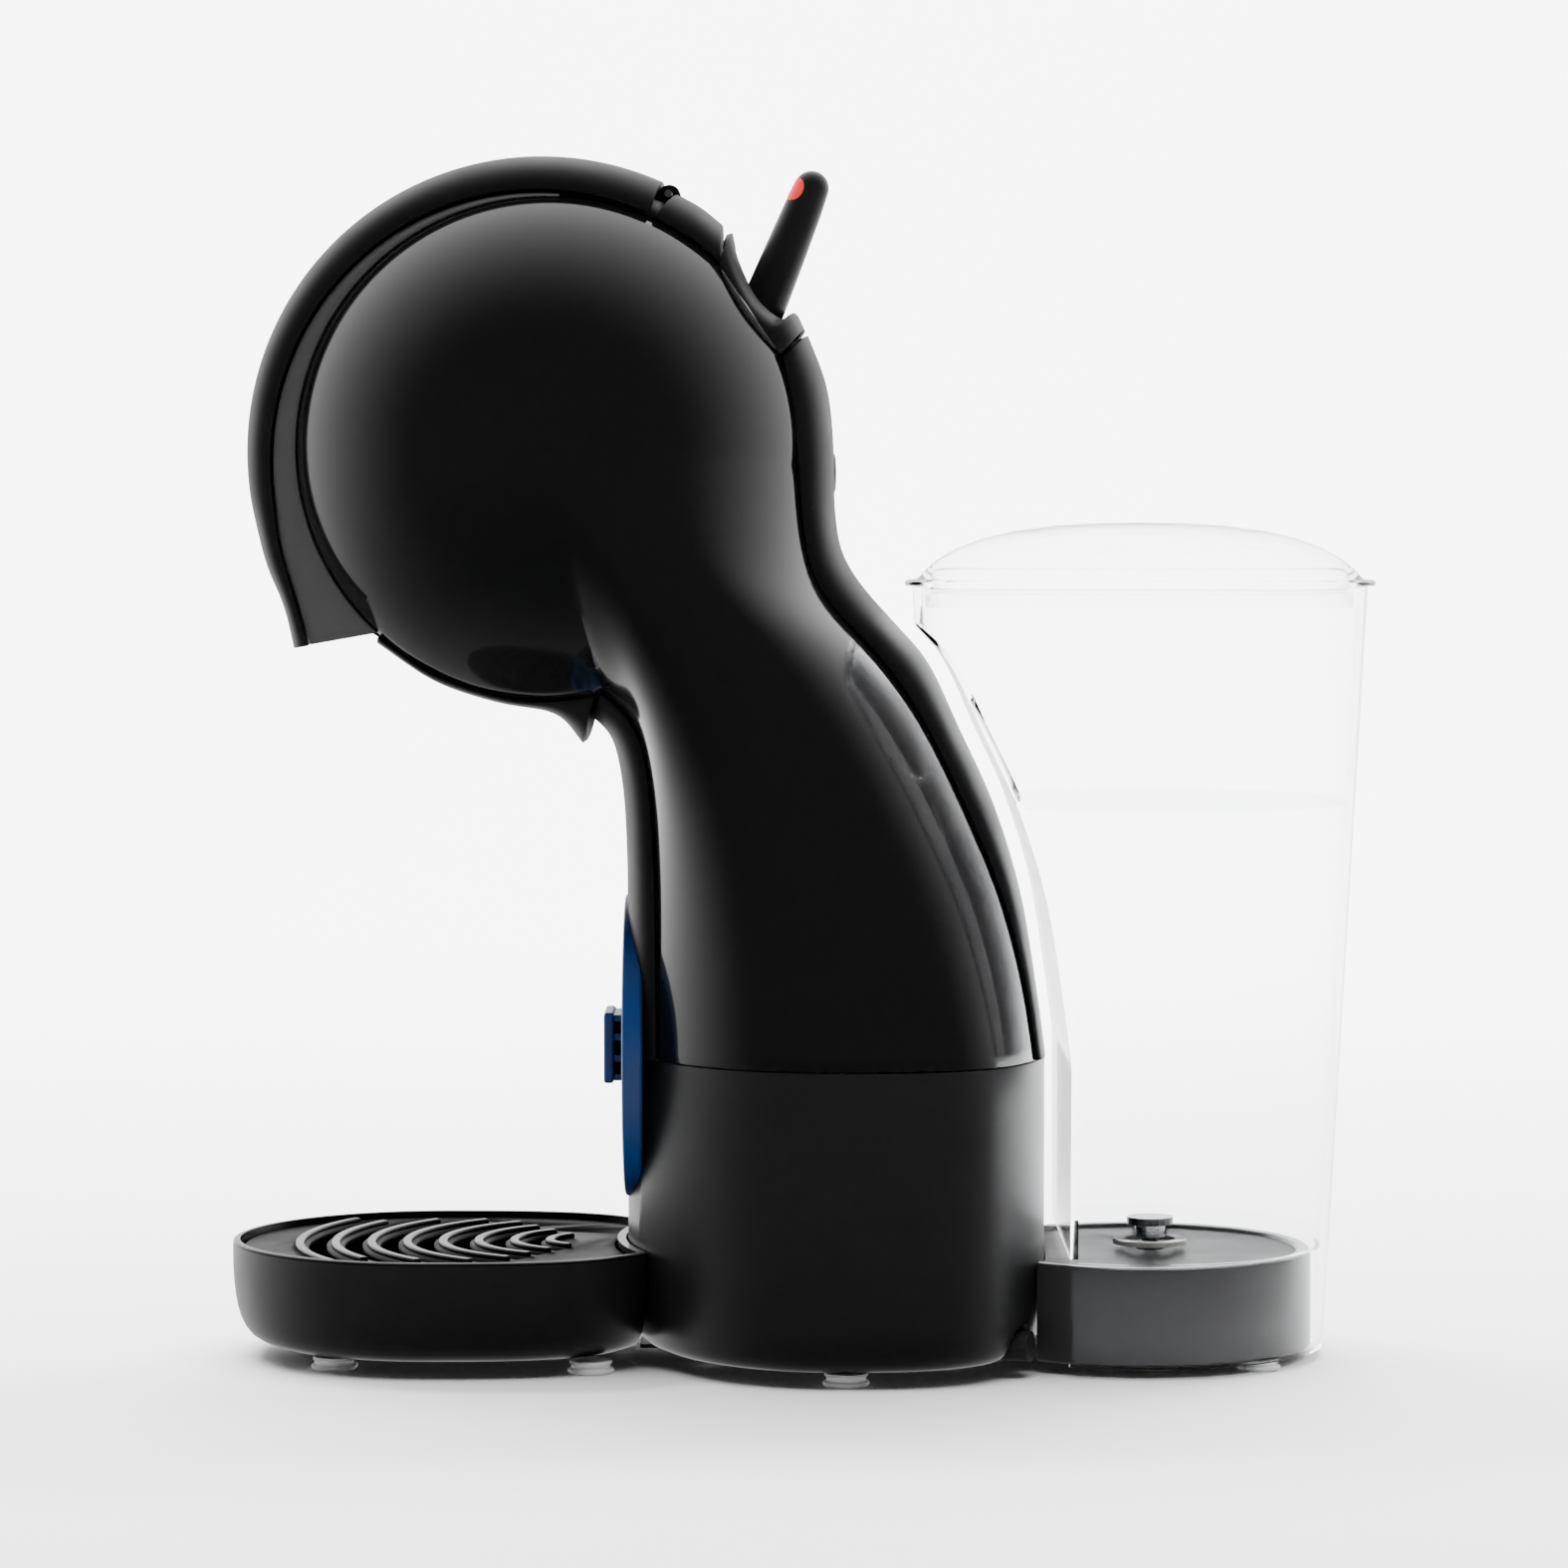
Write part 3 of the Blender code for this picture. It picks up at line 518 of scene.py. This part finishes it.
def strip_rows(crown, edge, count, across, half, lift=0.5, roundness=0.8):
    crown = relax(resample(crown, count), 2)
    edge = relax(resample(edge, count), 2)
    rows = []
    for top, side in zip(crown, edge):
        side = side + (top - side).normalized() * lift
        rows.append(crown_row(side, top, half, across, roundness))
    return rows


def strip(name, crown, edge, finish, count, body="body", nodes=None, inside=(-20.0, 0.0, 200.0),
          half=SPINE_HALF - 0.3, wall=WALL, rim=0.4):
    shape = sheet(strip_rows(crown, edge, count, 49, half), inside)
    band = finish_piece(f"{name}_skin", shape, finish, body, nodes or (name,))
    thicken(band, wall, rim)
    return band


def tool_seat():
    return rod_shape((-60, 0, TOOL_Z), (-38.3, 0, TOOL_Z), TOOL_RADIUS + 0.4, sides=128)


def spines():
    rear = strip("rear_spine", BACK_LINE, BACK_EDGE, MATTE, 90, inside=(HEAD[0], 0.0, 110.0))
    carve(rear, rod_shape((-2, 0, 212), (14, 0, 212), 5.5), rod_shape((-3, 0, 225.1), (9, 0, 227.4), 1.5))
    front = strip("front_spine", FRONT_LINE, FRONT_EDGE, MATTE, 60)
    carve(front, tool_seat())
    crown = [(-29.6, 278.2), (-24.2, 275.2), (-18.8, 270.9)]
    edge = [head_point(59.0, degrees) for degrees in (65.0, 55.0, 46.5)]
    strip("top_spine", crown, edge, MATTE, 16)
    crown = [head_point(61.4, degrees) for degrees in (229.0, 244.0, 258.0)]
    crown += [Vector((-58.9, 154.6)), Vector((-52.6, 147.4))]
    edge = [head_point(58.9, degrees) for degrees in (228.0, 243.0, 260.0, 270.0, 281.0)]
    guard = strip("nozzle_guard", crown, edge, MATTE, 40, wall=1.2, rim=0.3)
    carve(guard, rod_shape((POD_X, 0, 150), (POD_X, 0, 180), 8.5))


def liners():
    """Dark inner walls behind the seams: under the hood, and under its hinge."""
    rows = []
    for step in range(60):
        spoke = head_point(57.4, 41.0 + 127.0 * step / 59)
        rows.append([(spoke[0], across, spoke[1]) for across in (-31.5, -16.0, 0.0, 16.0, 31.5)])
    liner = finish_piece("head_liner", sheet(rows, (HEAD[0], 0.0, HEAD[1])), MATTE, "body")
    thicken(liner, 1.2)
    crown = [(-36.6, 277.4), (-31.2, 275.6), (-26.8, 273.4)]
    edge = [head_point(59.3, degrees) for degrees in (69.0, 65.0, 61.0)]
    shape = sheet(strip_rows(crown, edge, 10, 41, 31.6, lift=0.0), (-40.0, 0.0, 230.0))
    lip = finish_piece("hinge_lip", shape, MATTE, "body")
    thicken(lip, 1.8)
    radius, half = HINGE_BARREL
    shape = rod_shape((HINGE[0], -half, HINGE[1]), (HINGE[0], half, HINGE[1]), radius)
    barrel = finish_piece("hinge_barrel", shape, MATTE, "body")
    soften(barrel, 0.4)


def lever_bezel():
    """The trough that the lever stands in, wrapping a little way down over both side shells."""
    crown = [(-16.6, 269.0), (-14.9, 262.0), (-10.6, 253.2), (-4.6, 248.3), (-1.8, 250.4), (0.6, 246.0)]
    crown = relax(resample(crown, 44), 2)
    rows = []
    rims = []
    for index, top in enumerate(crown):
        share = index / 43
        half = 32.6 + 4.2 * math.sin(math.pi * share) ** 0.7
        flare = math.sqrt(1 - (half / HEAD_WIDTH) ** 2) / math.sqrt(1 - (SPINE_HALF / HEAD_WIDTH) ** 2)
        side = head_point(HEAD_EDGE * flare + 0.35, 47.0 - 25.2 * share)
        rows.append(crown_row(side, top, half, 57, 0.72))
        rims.append((side, half, 0.12 + 0.75 * math.sin(math.pi * share)))
    # Thin beads, thickest mid-way, along both bezel rims in a lighter grey: a painted highlight of the rims
    # catching light.
    for name, hand in (("bezel_rim_right", -1), ("bezel_rim_left", 1)):
        loops = []
        for side, half, size in rims[3:-3]:
            spoke = (side - Vector(HEAD)).normalized()
            loops.append([(side[0] + spoke[0] * size * math.cos(turn),
                           hand * (half + 0.2 + size * math.sin(turn)),
                           side[1] + spoke[1] * size * math.cos(turn))
                          for turn in (math.pi * corner / 5 for corner in range(10))])
        finish_piece(name, solid(loops), RIM_PAINTED_HIGHLIGHT, "body")
    shape = sheet(rows, (-40.0, 0.0, 230.0))
    bezel = finish_piece("lever_bezel_skin", shape, MATTE, "body", ("lever_bezel",))
    thicken(bezel, 1.1, rim=0.3)
    carve(bezel, box_shape((-17.2, -15.0, 238.0), (-3.6, 15.0, 266.0)))


def base():
    profile = [(-10.0, 3.2), (-8.0, 3.25), (-5.8, 3.6), (-3.9, 4.4), (-2.3, 5.8), (-1.2, 7.6), (-0.45, 10.0),
               (-0.1, 12.4), (0.0, 15.0), (0.0, 30.0), (0.0, 50.0), (0.0, 66.0), (0.0, BASE_TOP - 0.35)]
    shape = sheet(base_rows(profile), (BASE_CENTRE, 0.0, 40.0), closed=True)
    shell = finish_piece("base_shell_skin", shape, BASE, "body", ("base_shell",))
    thicken(shell, WALL, rim=0.3)
    carve(shell, tool_seat(), rod_shape((40, -35.2, 7.2), (68, -45.7, 7.2), 5.2),
          box_shape((46.0, -5.0, 5.6), (64.0, 5.0, 18.0)))


# ---------------------------------------------------------------- hood

def hood_lines():
    crown, edge = [], []
    steps = 40
    for index in range(steps):
        degrees = 66.0 + 124.0 * index / (steps - 1)
        angle = math.radians(degrees)
        crown.append(Vector((-61.8 + 70.4 * math.cos(angle), 216.9 + 70.4 * math.sin(angle))))
        edge.append(head_point(59.3 + 5.4 * ((degrees - 66.0) / 124.0) ** 1.3, degrees))
    crown += [Vector(point) for point in ((-127.6, 190.4), (-123.4, 180.6), (-121.0, 170.4))]
    edge += [Vector(point) for point in ((-122.3, 195.0), (-119.2, 184.0), (-115.6, 171.4))]
    return crown, edge


def hood():
    crown, edge = hood_lines()
    strip("hood_band", crown, edge, MATTE, 110, body="hood", rim=0.5)
    outer = relax(resample(edge, 110), 2)[14:]
    for name, side in (("hood_cheek_right", -1), ("hood_cheek_left", 1)):
        rows = []
        bearings = [math.degrees(math.atan2(point[1] - HEAD[1], point[0] - HEAD[0])) % 360.0
                    for point in outer]
        for point, bearing in zip(outer, bearings):
            spoke = (point - Vector(HEAD)).normalized()
            low = point - spoke * 0.3
            share = (bearing - bearings[0]) / (bearings[-1] - bearings[0])
            near = head_point(HEAD_EDGE + 0.2, bearing + (CHEEK_END - bearings[-1]) * share ** 4)
            row = []
            for step in range(9):
                share = step / 8
                swell = math.sin(share * math.pi / 2) ** 0.85
                depth = CHEEK_DEPTH[0] + (CHEEK_DEPTH[1] - CHEEK_DEPTH[0]) * swell
                place = low.lerp(near, share)
                row.append((place[0], side * depth, place[1]))
            rows.append(row)
        shape = sheet(rows, (-60.0, 0.0, 217.0))
        # The cheeks' lighter grey is painted light, not the plastic's own colour.
        cheek = finish_piece(f"{name}_skin", shape, CHEEK_PAINTED_LIGHT, "hood", (name,))
        thicken(cheek, 1.4, rim=0.1)


def pod_holder():
    low, high = (-114.0, -27.0, 177.2), (-60.0, 27.0, 205.0)
    holder = finish_piece("pod_holder_skin", box_shape(low, high), MATTE, "holder",
                          ("pod_holder",))
    modify(holder, "BEVEL", width=4.0 * MM, segments=6, limit_method="ANGLE", angle_limit=math.radians(35))
    settle(holder)
    carve(holder, rod_shape((POD_X, 0, 182.0), (POD_X, 0, 210.0), 23.5, sides=128),
          rod_shape((POD_X, 0, 203.6), (POD_X, 0, 206.0), 23.5, sides=128, end_radius=25.6),
          rod_shape((POD_X, 0, 170.0), (POD_X, 0, 186.0), 3.5))
    for index in range(4):
        level = 184.0 + 4.0 * index
        carve(holder, box_shape((-115.0, -18.0, level), (-113.3, 18.0, level + 1.4)))
    holder.data.shade_smooth()
    holder.data.set_sharp_from_angle(angle=math.radians(32))


# ---------------------------------------------------------------- lever and controls

def lever():
    pivot = Vector((-13.5, 0.0, 242.0))
    lean = Vector((0.38, 0.0, 0.925)).normalized()
    low, high = 7.6, 45.4
    profile = [(0.0, high)]
    tip = 4.2
    for step in range(1, 9):
        angle = math.pi / 2 * step / 8
        profile.append((tip * math.sin(angle), high - tip + tip * math.cos(angle)))
    profile += [(4.6, 36.0), (5.0, 26.0), (5.3, 16.0), (5.5, low + 0.6), (5.0, low), (0.0, low)]
    turn = lean.to_track_quat("Z", "Y").to_matrix().to_4x4()
    place = Matrix.Translation(pivot) @ turn
    shape = turned(profile, (0.0, 0.0), 64)
    bmesh.ops.transform(shape, matrix=place, verts=shape.verts)
    finish_piece("control_lever_skin", shape, SATIN, "lever", ("control_lever",))
    for name, finish, side in (("hot_mark", RED_MARK, 1), ("cold_mark", BLUE_MARK, -1)):
        toward = turn.inverted() @ Vector((-0.86, -0.5 * side, 0.0))
        middle = math.atan2(toward[1], toward[0])
        rows = []
        for step in range(13):
            share = step / 12
            height = 36.4 + 6.0 * share
            half = 0.62 * math.sqrt(max(0.0, 1 - (2 * share - 1) ** 2)) + 0.02
            radius = tip_radius(height, high, tip) + 0.12
            bends = [middle + half * spot for spot in (-1, -0.6, -0.2, 0.2, 0.6, 1)]
            rows.append([(radius * math.cos(bend), radius * math.sin(bend), height) for bend in bends])
        shape = sheet(rows, (0.0, 0.0, 39.0))
        bmesh.ops.transform(shape, matrix=place, verts=shape.verts)
        mark = finish_piece(name, shape, finish, "lever")
        thicken(mark, 0.3)


def tip_radius(height, high, tip):
    over = height - (high - tip)
    if over > 0:
        return math.sqrt(max(0.0, tip * tip - over * over))
    return tip + (high - tip - height) * 0.077


def button():
    shape = turned([(0.0, 0.0), (3.6, 0.05), (4.5, 0.3), (5.0, 0.9), (5.0, 4.3), (0.0, 4.3)], (0.0, 0.0), 64)
    turn = Matrix.Translation((8.1, 0.0, 212.0)) @ Matrix.Rotation(-math.pi / 2, 4, "Y")
    bmesh.ops.transform(shape, matrix=turn, verts=shape.verts)
    finish_piece("power_button_skin", shape, SATIN, "button", ("power_button",))
    size = 2.2
    ring = turned([(size + 0.25, 0.12), (size + 0.25, -0.05), (size - 0.25, -0.05), (size - 0.25, 0.12)],
                  (0.0, 0.0), 48)
    bmesh.ops.transform(ring, matrix=turn, verts=ring.verts)
    finish_piece("button_ring", ring, FOOT, "button")


# ---------------------------------------------------------------- rinsing tool

def rinsing_tool():
    steps = 144
    rows = []
    for radius, back in ((TOOL_RADIUS - 0.9, 0.0), (TOOL_RADIUS - 0.2, 0.3), (TOOL_RADIUS, 1.0),
                         (TOOL_RADIUS, 4.4), (TOOL_RADIUS - 0.4, 4.9)):
        row = []
        for step in range(steps):
            angle = 2 * math.pi * step / steps
            y, z = radius * math.cos(angle), radius * math.sin(angle)
            depth = back if back < 2.0 else back * (0.86 + 0.14 * (abs(y) / TOOL_RADIUS) ** 2)
            row.append((TOOL_FACE + depth, y, TOOL_Z + z))
        rows.append(row)
    finish_piece("rinsing_tool_skin", solid(rows), BLUE, "tool", ("rinsing_tool",))
    low, high = TOOL_Z - 8.5, TOOL_Z + 8.5
    front = TOOL_FACE - 5.0
    plate = finish_piece("tool_grip_plate", box_shape((front, -10.0, low), (front + 2.4, 10.0, high)),
                         BLUE, "tool")
    soften(plate, 0.7)
    for index, z in enumerate((low + 1.4, TOOL_Z - 2.6, TOOL_Z + 2.6, high - 1.4)):
        shape = box_shape((front + 2.2, -9.0, z - 0.8), (TOOL_FACE + 0.3, 9.0, z + 0.8))
        rib = finish_piece(f"tool_grip_rib_{index}", shape, BLUE, "tool")
        soften(rib, 0.25)
    shape = box_shape((front + 2.2, -0.9, low + 1.0), (TOOL_FACE + 0.3, 0.9, high - 1.0))
    web = finish_piece("tool_grip_web", shape, BLUE, "tool")
    soften(web, 0.25)


# ---------------------------------------------------------------- drip tray

def drip_tray():
    outside = [(-14.0, 3.2), (-11.0, 3.25), (-8.2, 3.7), (-6.0, 4.5), (-4.2, 5.7), (-2.8, 7.5), (-1.8, 9.6),
               (-1.1, 12.0), (-0.55, 15.0), (-0.2, 18.5), (0.0, 22.0), (0.0, TRAY_TOP - 0.7),
               (-0.25, TRAY_TOP - 0.2), (-0.8, TRAY_TOP)]
    inside = [(-12.0, 6.0), (-7.0, 6.8), (-4.0, 9.0), (-2.2, 16.0), (-2.0, 27.0), (-1.7, 27.9), (-1.5, 40.0)]
    tray = finish_piece("drip_tray_skin", solid(tray_rows(outside)), BASE, "tray",
                        ("drip_tray",))
    basin = finish_piece("basin", solid(tray_rows(inside)), MATTE, None)
    carve(basin, column(2.6))
    carve(tray, column(0.6))
    modify(tray, "BOOLEAN", operation="DIFFERENCE", object=basin, solver="EXACT")
    settle(tray)
    bpy.data.objects.remove(basin)
    tray.data.materials.clear()
    for finish in (BASE, TRAY_IN):
        tray.data.materials.append(finish)
    for face in tray.data.polygons:
        centre = face.center / MM
        inward = face.normal.xy.dot(Vector((centre[0] - TRAY_CENTRE, centre[1])).normalized()) < 0.0
        if face.normal.z > 0.3 or (inward and centre[2] > 6.2):
            face.material_index = 1
    tray.data.shade_smooth()
    tray.data.set_sharp_from_angle(angle=math.radians(32))


def arc_rows(radius, half_width, low, high, spread, steps=28):
    rows = []
    for index in range(steps + 1):
        turn = math.radians(180.0 - spread + 2 * spread * index / steps)
        row = []
        for reach, height in ((-half_width, low), (half_width, low), (half_width, high), (-half_width, high)):
            arm = radius + reach
            row.append((SLOT_CENTRE + arm * math.cos(turn), arm * math.sin(turn), height))
        rows.append(row)
    return rows


def slot_spread(radius):
    spread = 60.0
    while True:
        angle = math.radians(spread)
        x = SLOT_CENTRE - radius * math.cos(angle)
        y = radius * math.sin(angle)
        if ((x - TRAY_CENTRE) / 42.5) ** 2 + (y / 41.0) ** 2 < 1.0:
            return spread
        spread -= 1.7


def drip_grid():
    grid = finish_piece("drip_grid_skin", solid(tray_rows([(-2.7, 24.6), (-2.7, 26.0), (-3.1, 26.4)])), DEEP,
                        "grid", ("drip_grid",))
    carve(grid, column(3.4))
    slots = bmesh.new()
    for index in range(SLOT_COUNT):
        radius = 15.3 + SLOT_PITCH * index
        skin(slots, arc_rows(radius, 2.2, 20.0, 32.0, slot_spread(radius)), closed=True, cap=True)
    bmesh.ops.recalc_face_normals(slots, faces=slots.faces)
    carve(grid, slots)
    for index in range(SLOT_COUNT + 1):
        radius = 11.0 + SLOT_PITCH * index
        spread = slot_spread(min(radius + 4.3, 66.9))
        shape = solid(arc_rows(radius, 1.1, 26.0, 27.5, spread * 0.97))
        rib = finish_piece(f"grid_rib_{index}", shape, TRAY_IN, "grid")
        soften(rib, 0.5)


# ---------------------------------------------------------------- tank

def saddle(gap):
    line = [(point[0] + gap, point[1]) for point in resample(BACK_LINE[4:], 40)] + [(58.0 + gap, -6.0)]
    outline = [(-40.0, 210.0), (12.0, 210.0)] + line + [(-40.0, -6.0)]
    return solid([[(x, y, z) for x, z in outline] for y in (70.0, -70.0)])


def tank_radius(height):
    return TANK_FOOT_RADIUS + (TANK_TOP_RADIUS - TANK_FOOT_RADIUS) * (height - 2.5) / (TANK_TOP - 2.5)


def vessel(name, low, high, inset, gap, finish, body, nodes=()):
    """A solid that fills the tank's outline between two heights, inset from its outer wall."""
    profile = [(0.0, high), (tank_radius(high) - inset, high), (tank_radius(low) - inset, low), (0.0, low)]
    piece = finish_piece(name, turned(profile, (TANK_X, 0), 144), finish, body, nodes)
    carve(piece, saddle(gap))
    return piece


def water_tank():
    floor = TANK_FLOOR + TANK_WALL
    tank = vessel("water_tank_skin", 2.5, TANK_TOP, 0.0, SADDLE_GAP, CLEAR, "tank",
                  ("water_tank",))
    inside = vessel("inside", 27.0, 192.0, TANK_WALL, SADDLE_GAP + TANK_WALL, CLEAR, None)
    modify(tank, "BOOLEAN", operation="DIFFERENCE", object=inside, solver="EXACT")
    settle(tank)
    bpy.data.objects.remove(inside)
    carve(tank, rod_shape((TANK_X, 0, -4.0), (TANK_X, 0, 27.8), 42.8, sides=144),
          rod_shape((VALVE_X, 0, 20.0), (VALVE_X, 0, 36.0), 4.2))
    tank.data.shade_smooth()
    tank.data.set_sharp_from_angle(angle=math.radians(30))
    # The water_surface sheet's grey tint is a painted reflection line, not a colour of the water.
    fillings = (("tank_floor", TANK_FLOOR, floor, 0.05, THIN_CLEAR),
                ("tank_water", floor + 3.0, WATER_LEVEL, 0.12, WATER),
                ("water_surface", WATER_LEVEL + 0.1, WATER_LEVEL + 0.9, 0.2, SURFACE_PAINTED_REFLECTION))
    for name, low, high, gap, finish in fillings:
        piece = vessel(name, low, high, TANK_WALL + gap, SADDLE_GAP + TANK_WALL + gap, finish, "tank")
        if name == "tank_floor":
            carve(piece, rod_shape((VALVE_X, 0, 20.0), (VALVE_X, 0, 36.0), 4.2))
        if name == "tank_water":
            carve(piece, rod_shape((VALVE_X, 0, 20.0), (VALVE_X, 0, 40.0), 9.0))
        piece.data.shade_smooth()
        piece.data.set_sharp_from_angle(angle=math.radians(30))


def tank_pocket():
    """The upright pocket moulded on the inside of the tank's front wall."""
    outline = [(51.2, 131.5), (51.2, 160.0), (50.6, 163.4), (49.0, 165.8), (46.5, 166.8), (44.2, 165.6),
               (42.8, 163.0), (41.4, 159.0), (40.6, 155.5), (43.4, 150.5), (46.6, 144.0), (49.6, 136.5)]
    shape = solid([[(x, y, z) for x, z in outline] for y in (4.0, -4.0)])
    pocket = finish_piece("tank_pocket", shape, CLEAR, "tank")
    soften(pocket, 1.2)


def tank_lid():
    top = [(0.0, 200.2), (10.0, 200.05), (20.0, 199.5), (30.0, 198.2), (38.0, 196.3), (44.0, 194.0),
           (48.5, 191.4), (51.6, 188.8), (53.0, 187.2), (53.9, 186.6), (55.8, 186.5), (56.4, 186.1),
           (56.4, 185.4), (56.1, 185.1)]
    under = [(51.8, 185.1), (51.4, 180.0), (50.0, 180.0), (50.2, 187.2), (47.6, 190.0), (43.0, 192.6),
             (37.0, 194.9), (29.4, 196.6), (20.0, 197.8), (10.0, 198.4), (0.0, 198.5)]
    lid = finish_piece("tank_lid_skin", turned(top + under, (TANK_X, 0), 144), CLEAR, "lid",
                       ("tank_lid",))
    lid.data.set_sharp_from_angle(angle=math.radians(45))


def pedestal():
    profile = [(0.0, DRUM_TOP - 1.0), (38.2, DRUM_TOP - 1.0), (38.8, DRUM_TOP - 0.2), (39.4, DRUM_TOP),
               (40.8, DRUM_TOP), (41.4, DRUM_TOP - 0.4), (DRUM_RADIUS, DRUM_TOP - 1.2),
               (DRUM_RADIUS, 3.2), (41.1, 2.7),
               (39.2, 2.7), (39.2, DRUM_TOP - 2.6), (0.0, DRUM_TOP - 2.6)]
    drum = finish_piece("tank_pedestal_skin", turned(profile, (TANK_X, 0), 144), GREY, "body",
                        ("tank_pedestal",))
    carve(drum, column(0.4), rod_shape((VALVE_X, 0, 22.6), (VALVE_X, 0, 30.0), 3.4))
    drum.data.materials.clear()
    for finish in (GREY, DEEP):
        drum.data.materials.append(finish)
    for face in drum.data.polygons:
        if face.normal.z > 0.5 and abs(face.center.z / MM - (DRUM_TOP - 1.0)) < 0.2:
            face.material_index = 1
    drum.data.set_sharp_from_angle(angle=math.radians(32))


# ---------------------------------------------------------------- feet

def feet():
    for name in sorted(frame["nodes"]):
        if "_foot_" not in name:
            continue
        low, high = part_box(name)
        middle = ((low[0] + high[0]) / 2 / MM, (low[1] + high[1]) / 2 / MM)
        radius = (high[0] - low[0]) / 2 / MM
        top = high[2] / MM
        profile = [(0.0, top), (radius - 0.6, top), (radius - 0.3, top - 0.5), (radius - 0.9, top - 1.0),
                   (radius - 0.9, 1.3), (radius, 0.9), (radius, 0.4), (radius - 0.4, 0.0), (0.0, 0.0)]
        body = "tray" if name.startswith("tray") else "body"
        finish_piece(f"{name}_skin", turned(profile, middle, 64), FOOT, body, (name,))


# ---------------------------------------------------------------- studio

def floor_material():
    made = Nodes("studio_white")
    made.join(made.tint(made.noise(3.0, detail=1.0), (0.93, 0.93, 0.93), (0.95, 0.95, 0.95)),
              made.shader.inputs["Base Color"])
    made.set(Roughness=0.75)
    return made.material


def studio():
    """A white sweep: a floor that curves up into a wall."""
    reach = 8.0
    line = [(-6.0, 0.0), (1.2, 0.0)]
    for step in range(1, 13):
        angle = math.pi / 2 * step / 12
        line.append((1.2 + 0.8 * math.sin(angle), 0.8 - 0.8 * math.cos(angle)))
    line.append((2.0, 7.0))
    shape = bmesh.new()
    skin(shape, [[(x / MM, y / MM, (z - 0.0001) / MM) for y, z in line] for x in (-reach, reach)])
    bmesh.ops.recalc_face_normals(shape, faces=shape.faces)
    sweep = finish_piece("studio_sweep", shape, floor_material(), None, angle=60.0)
    sweep.visible_glossy = False


def softbox(name, place, target, size, power, spread=math.pi):
    lamp = bpy.data.lights.new(name, "AREA")
    lamp.shape = "RECTANGLE"
    lamp.size, lamp.size_y = size
    lamp.energy = power
    lamp.spread = spread
    made = bpy.data.objects.new(name, lamp)
    made.location = place
    made.rotation_euler = (Vector(target) - Vector(place)).to_track_quat("-Z", "Y").to_euler()
    made.visible_glossy = False
    bpy.context.scene.collection.objects.link(made)


def studio_air():
    """White surroundings behind and beside the object that fade to dark behind the camera and below."""
    world = bpy.data.worlds.new("studio_air")
    world.use_nodes = True
    tree = world.node_tree
    place = tree.nodes.new("ShaderNodeTexCoord")
    split = tree.nodes.new("ShaderNodeSeparateXYZ")
    tree.links.new(place.outputs["Generated"], split.inputs["Vector"])
    glow = []
    for axis, (start, end, low, high) in (("Y", (-0.60, 1.0, 0.03, 1.0)), ("Z", (-0.85, 0.05, 0.16, 1.0))):
        fade = tree.nodes.new("ShaderNodeMapRange")
        fade.interpolation_type = "SMOOTHSTEP"
        for socket, value in (("From Min", start), ("From Max", end), ("To Min", low), ("To Max", high)):
            fade.inputs[socket].default_value = value
        tree.links.new(split.outputs[axis], fade.inputs["Value"])
        glow.append(fade.outputs["Result"])
    product = tree.nodes.new("ShaderNodeMath")
    product.operation = "MULTIPLY"
    tree.links.new(glow[0], product.inputs[0])
    tree.links.new(glow[1], product.inputs[1])
    power = tree.nodes.new("ShaderNodeMath")
    power.operation = "MULTIPLY"
    power.inputs[1].default_value = AIR_STRENGTH
    tree.links.new(product.outputs[0], power.inputs[0])
    tree.links.new(power.outputs[0], tree.nodes["Background"].inputs["Strength"])
    tree.nodes["Background"].inputs["Color"].default_value = (1.0, 1.0, 1.0, 1.0)
    bpy.context.scene.world = world


def lights():
    softbox("top_softbox", (0.0, -0.1, 2.0), (0.0, 0.0, 0.1), (2.4, 2.0), 96)
    softbox("back_wash", (0.0, 0.9, 1.9), (0.0, 1.9, 0.5), (3.0, 0.6), 300)
    studio_air()


def camera():
    lens = bpy.data.cameras.new("photo_camera")
    lens.sensor_width = 36.0
    lens.lens = 36.0 * 5247.0 / 1575.0
    lens.clip_start = 0.05
    made = bpy.data.objects.new("photo_camera", lens)
    made.location = (-4.43 * MM, -1256.0 * MM, 199.0 * MM)
    made.rotation_euler = (math.radians(90.0 - 2.81), 0.0, 0.0)
    bpy.context.scene.collection.objects.link(made)
    bpy.context.scene.camera = made


dress_frame()
camera()
side_shells()
spines()
seam_ribs()
lever_bezel()
liners()
base()
hood()
pod_holder()
lever()
button()
rinsing_tool()
drip_tray()
drip_grid()
water_tank()
tank_pocket()
tank_lid()
pedestal()
feet()
studio()
lights()
bpy.context.view_layer.update()
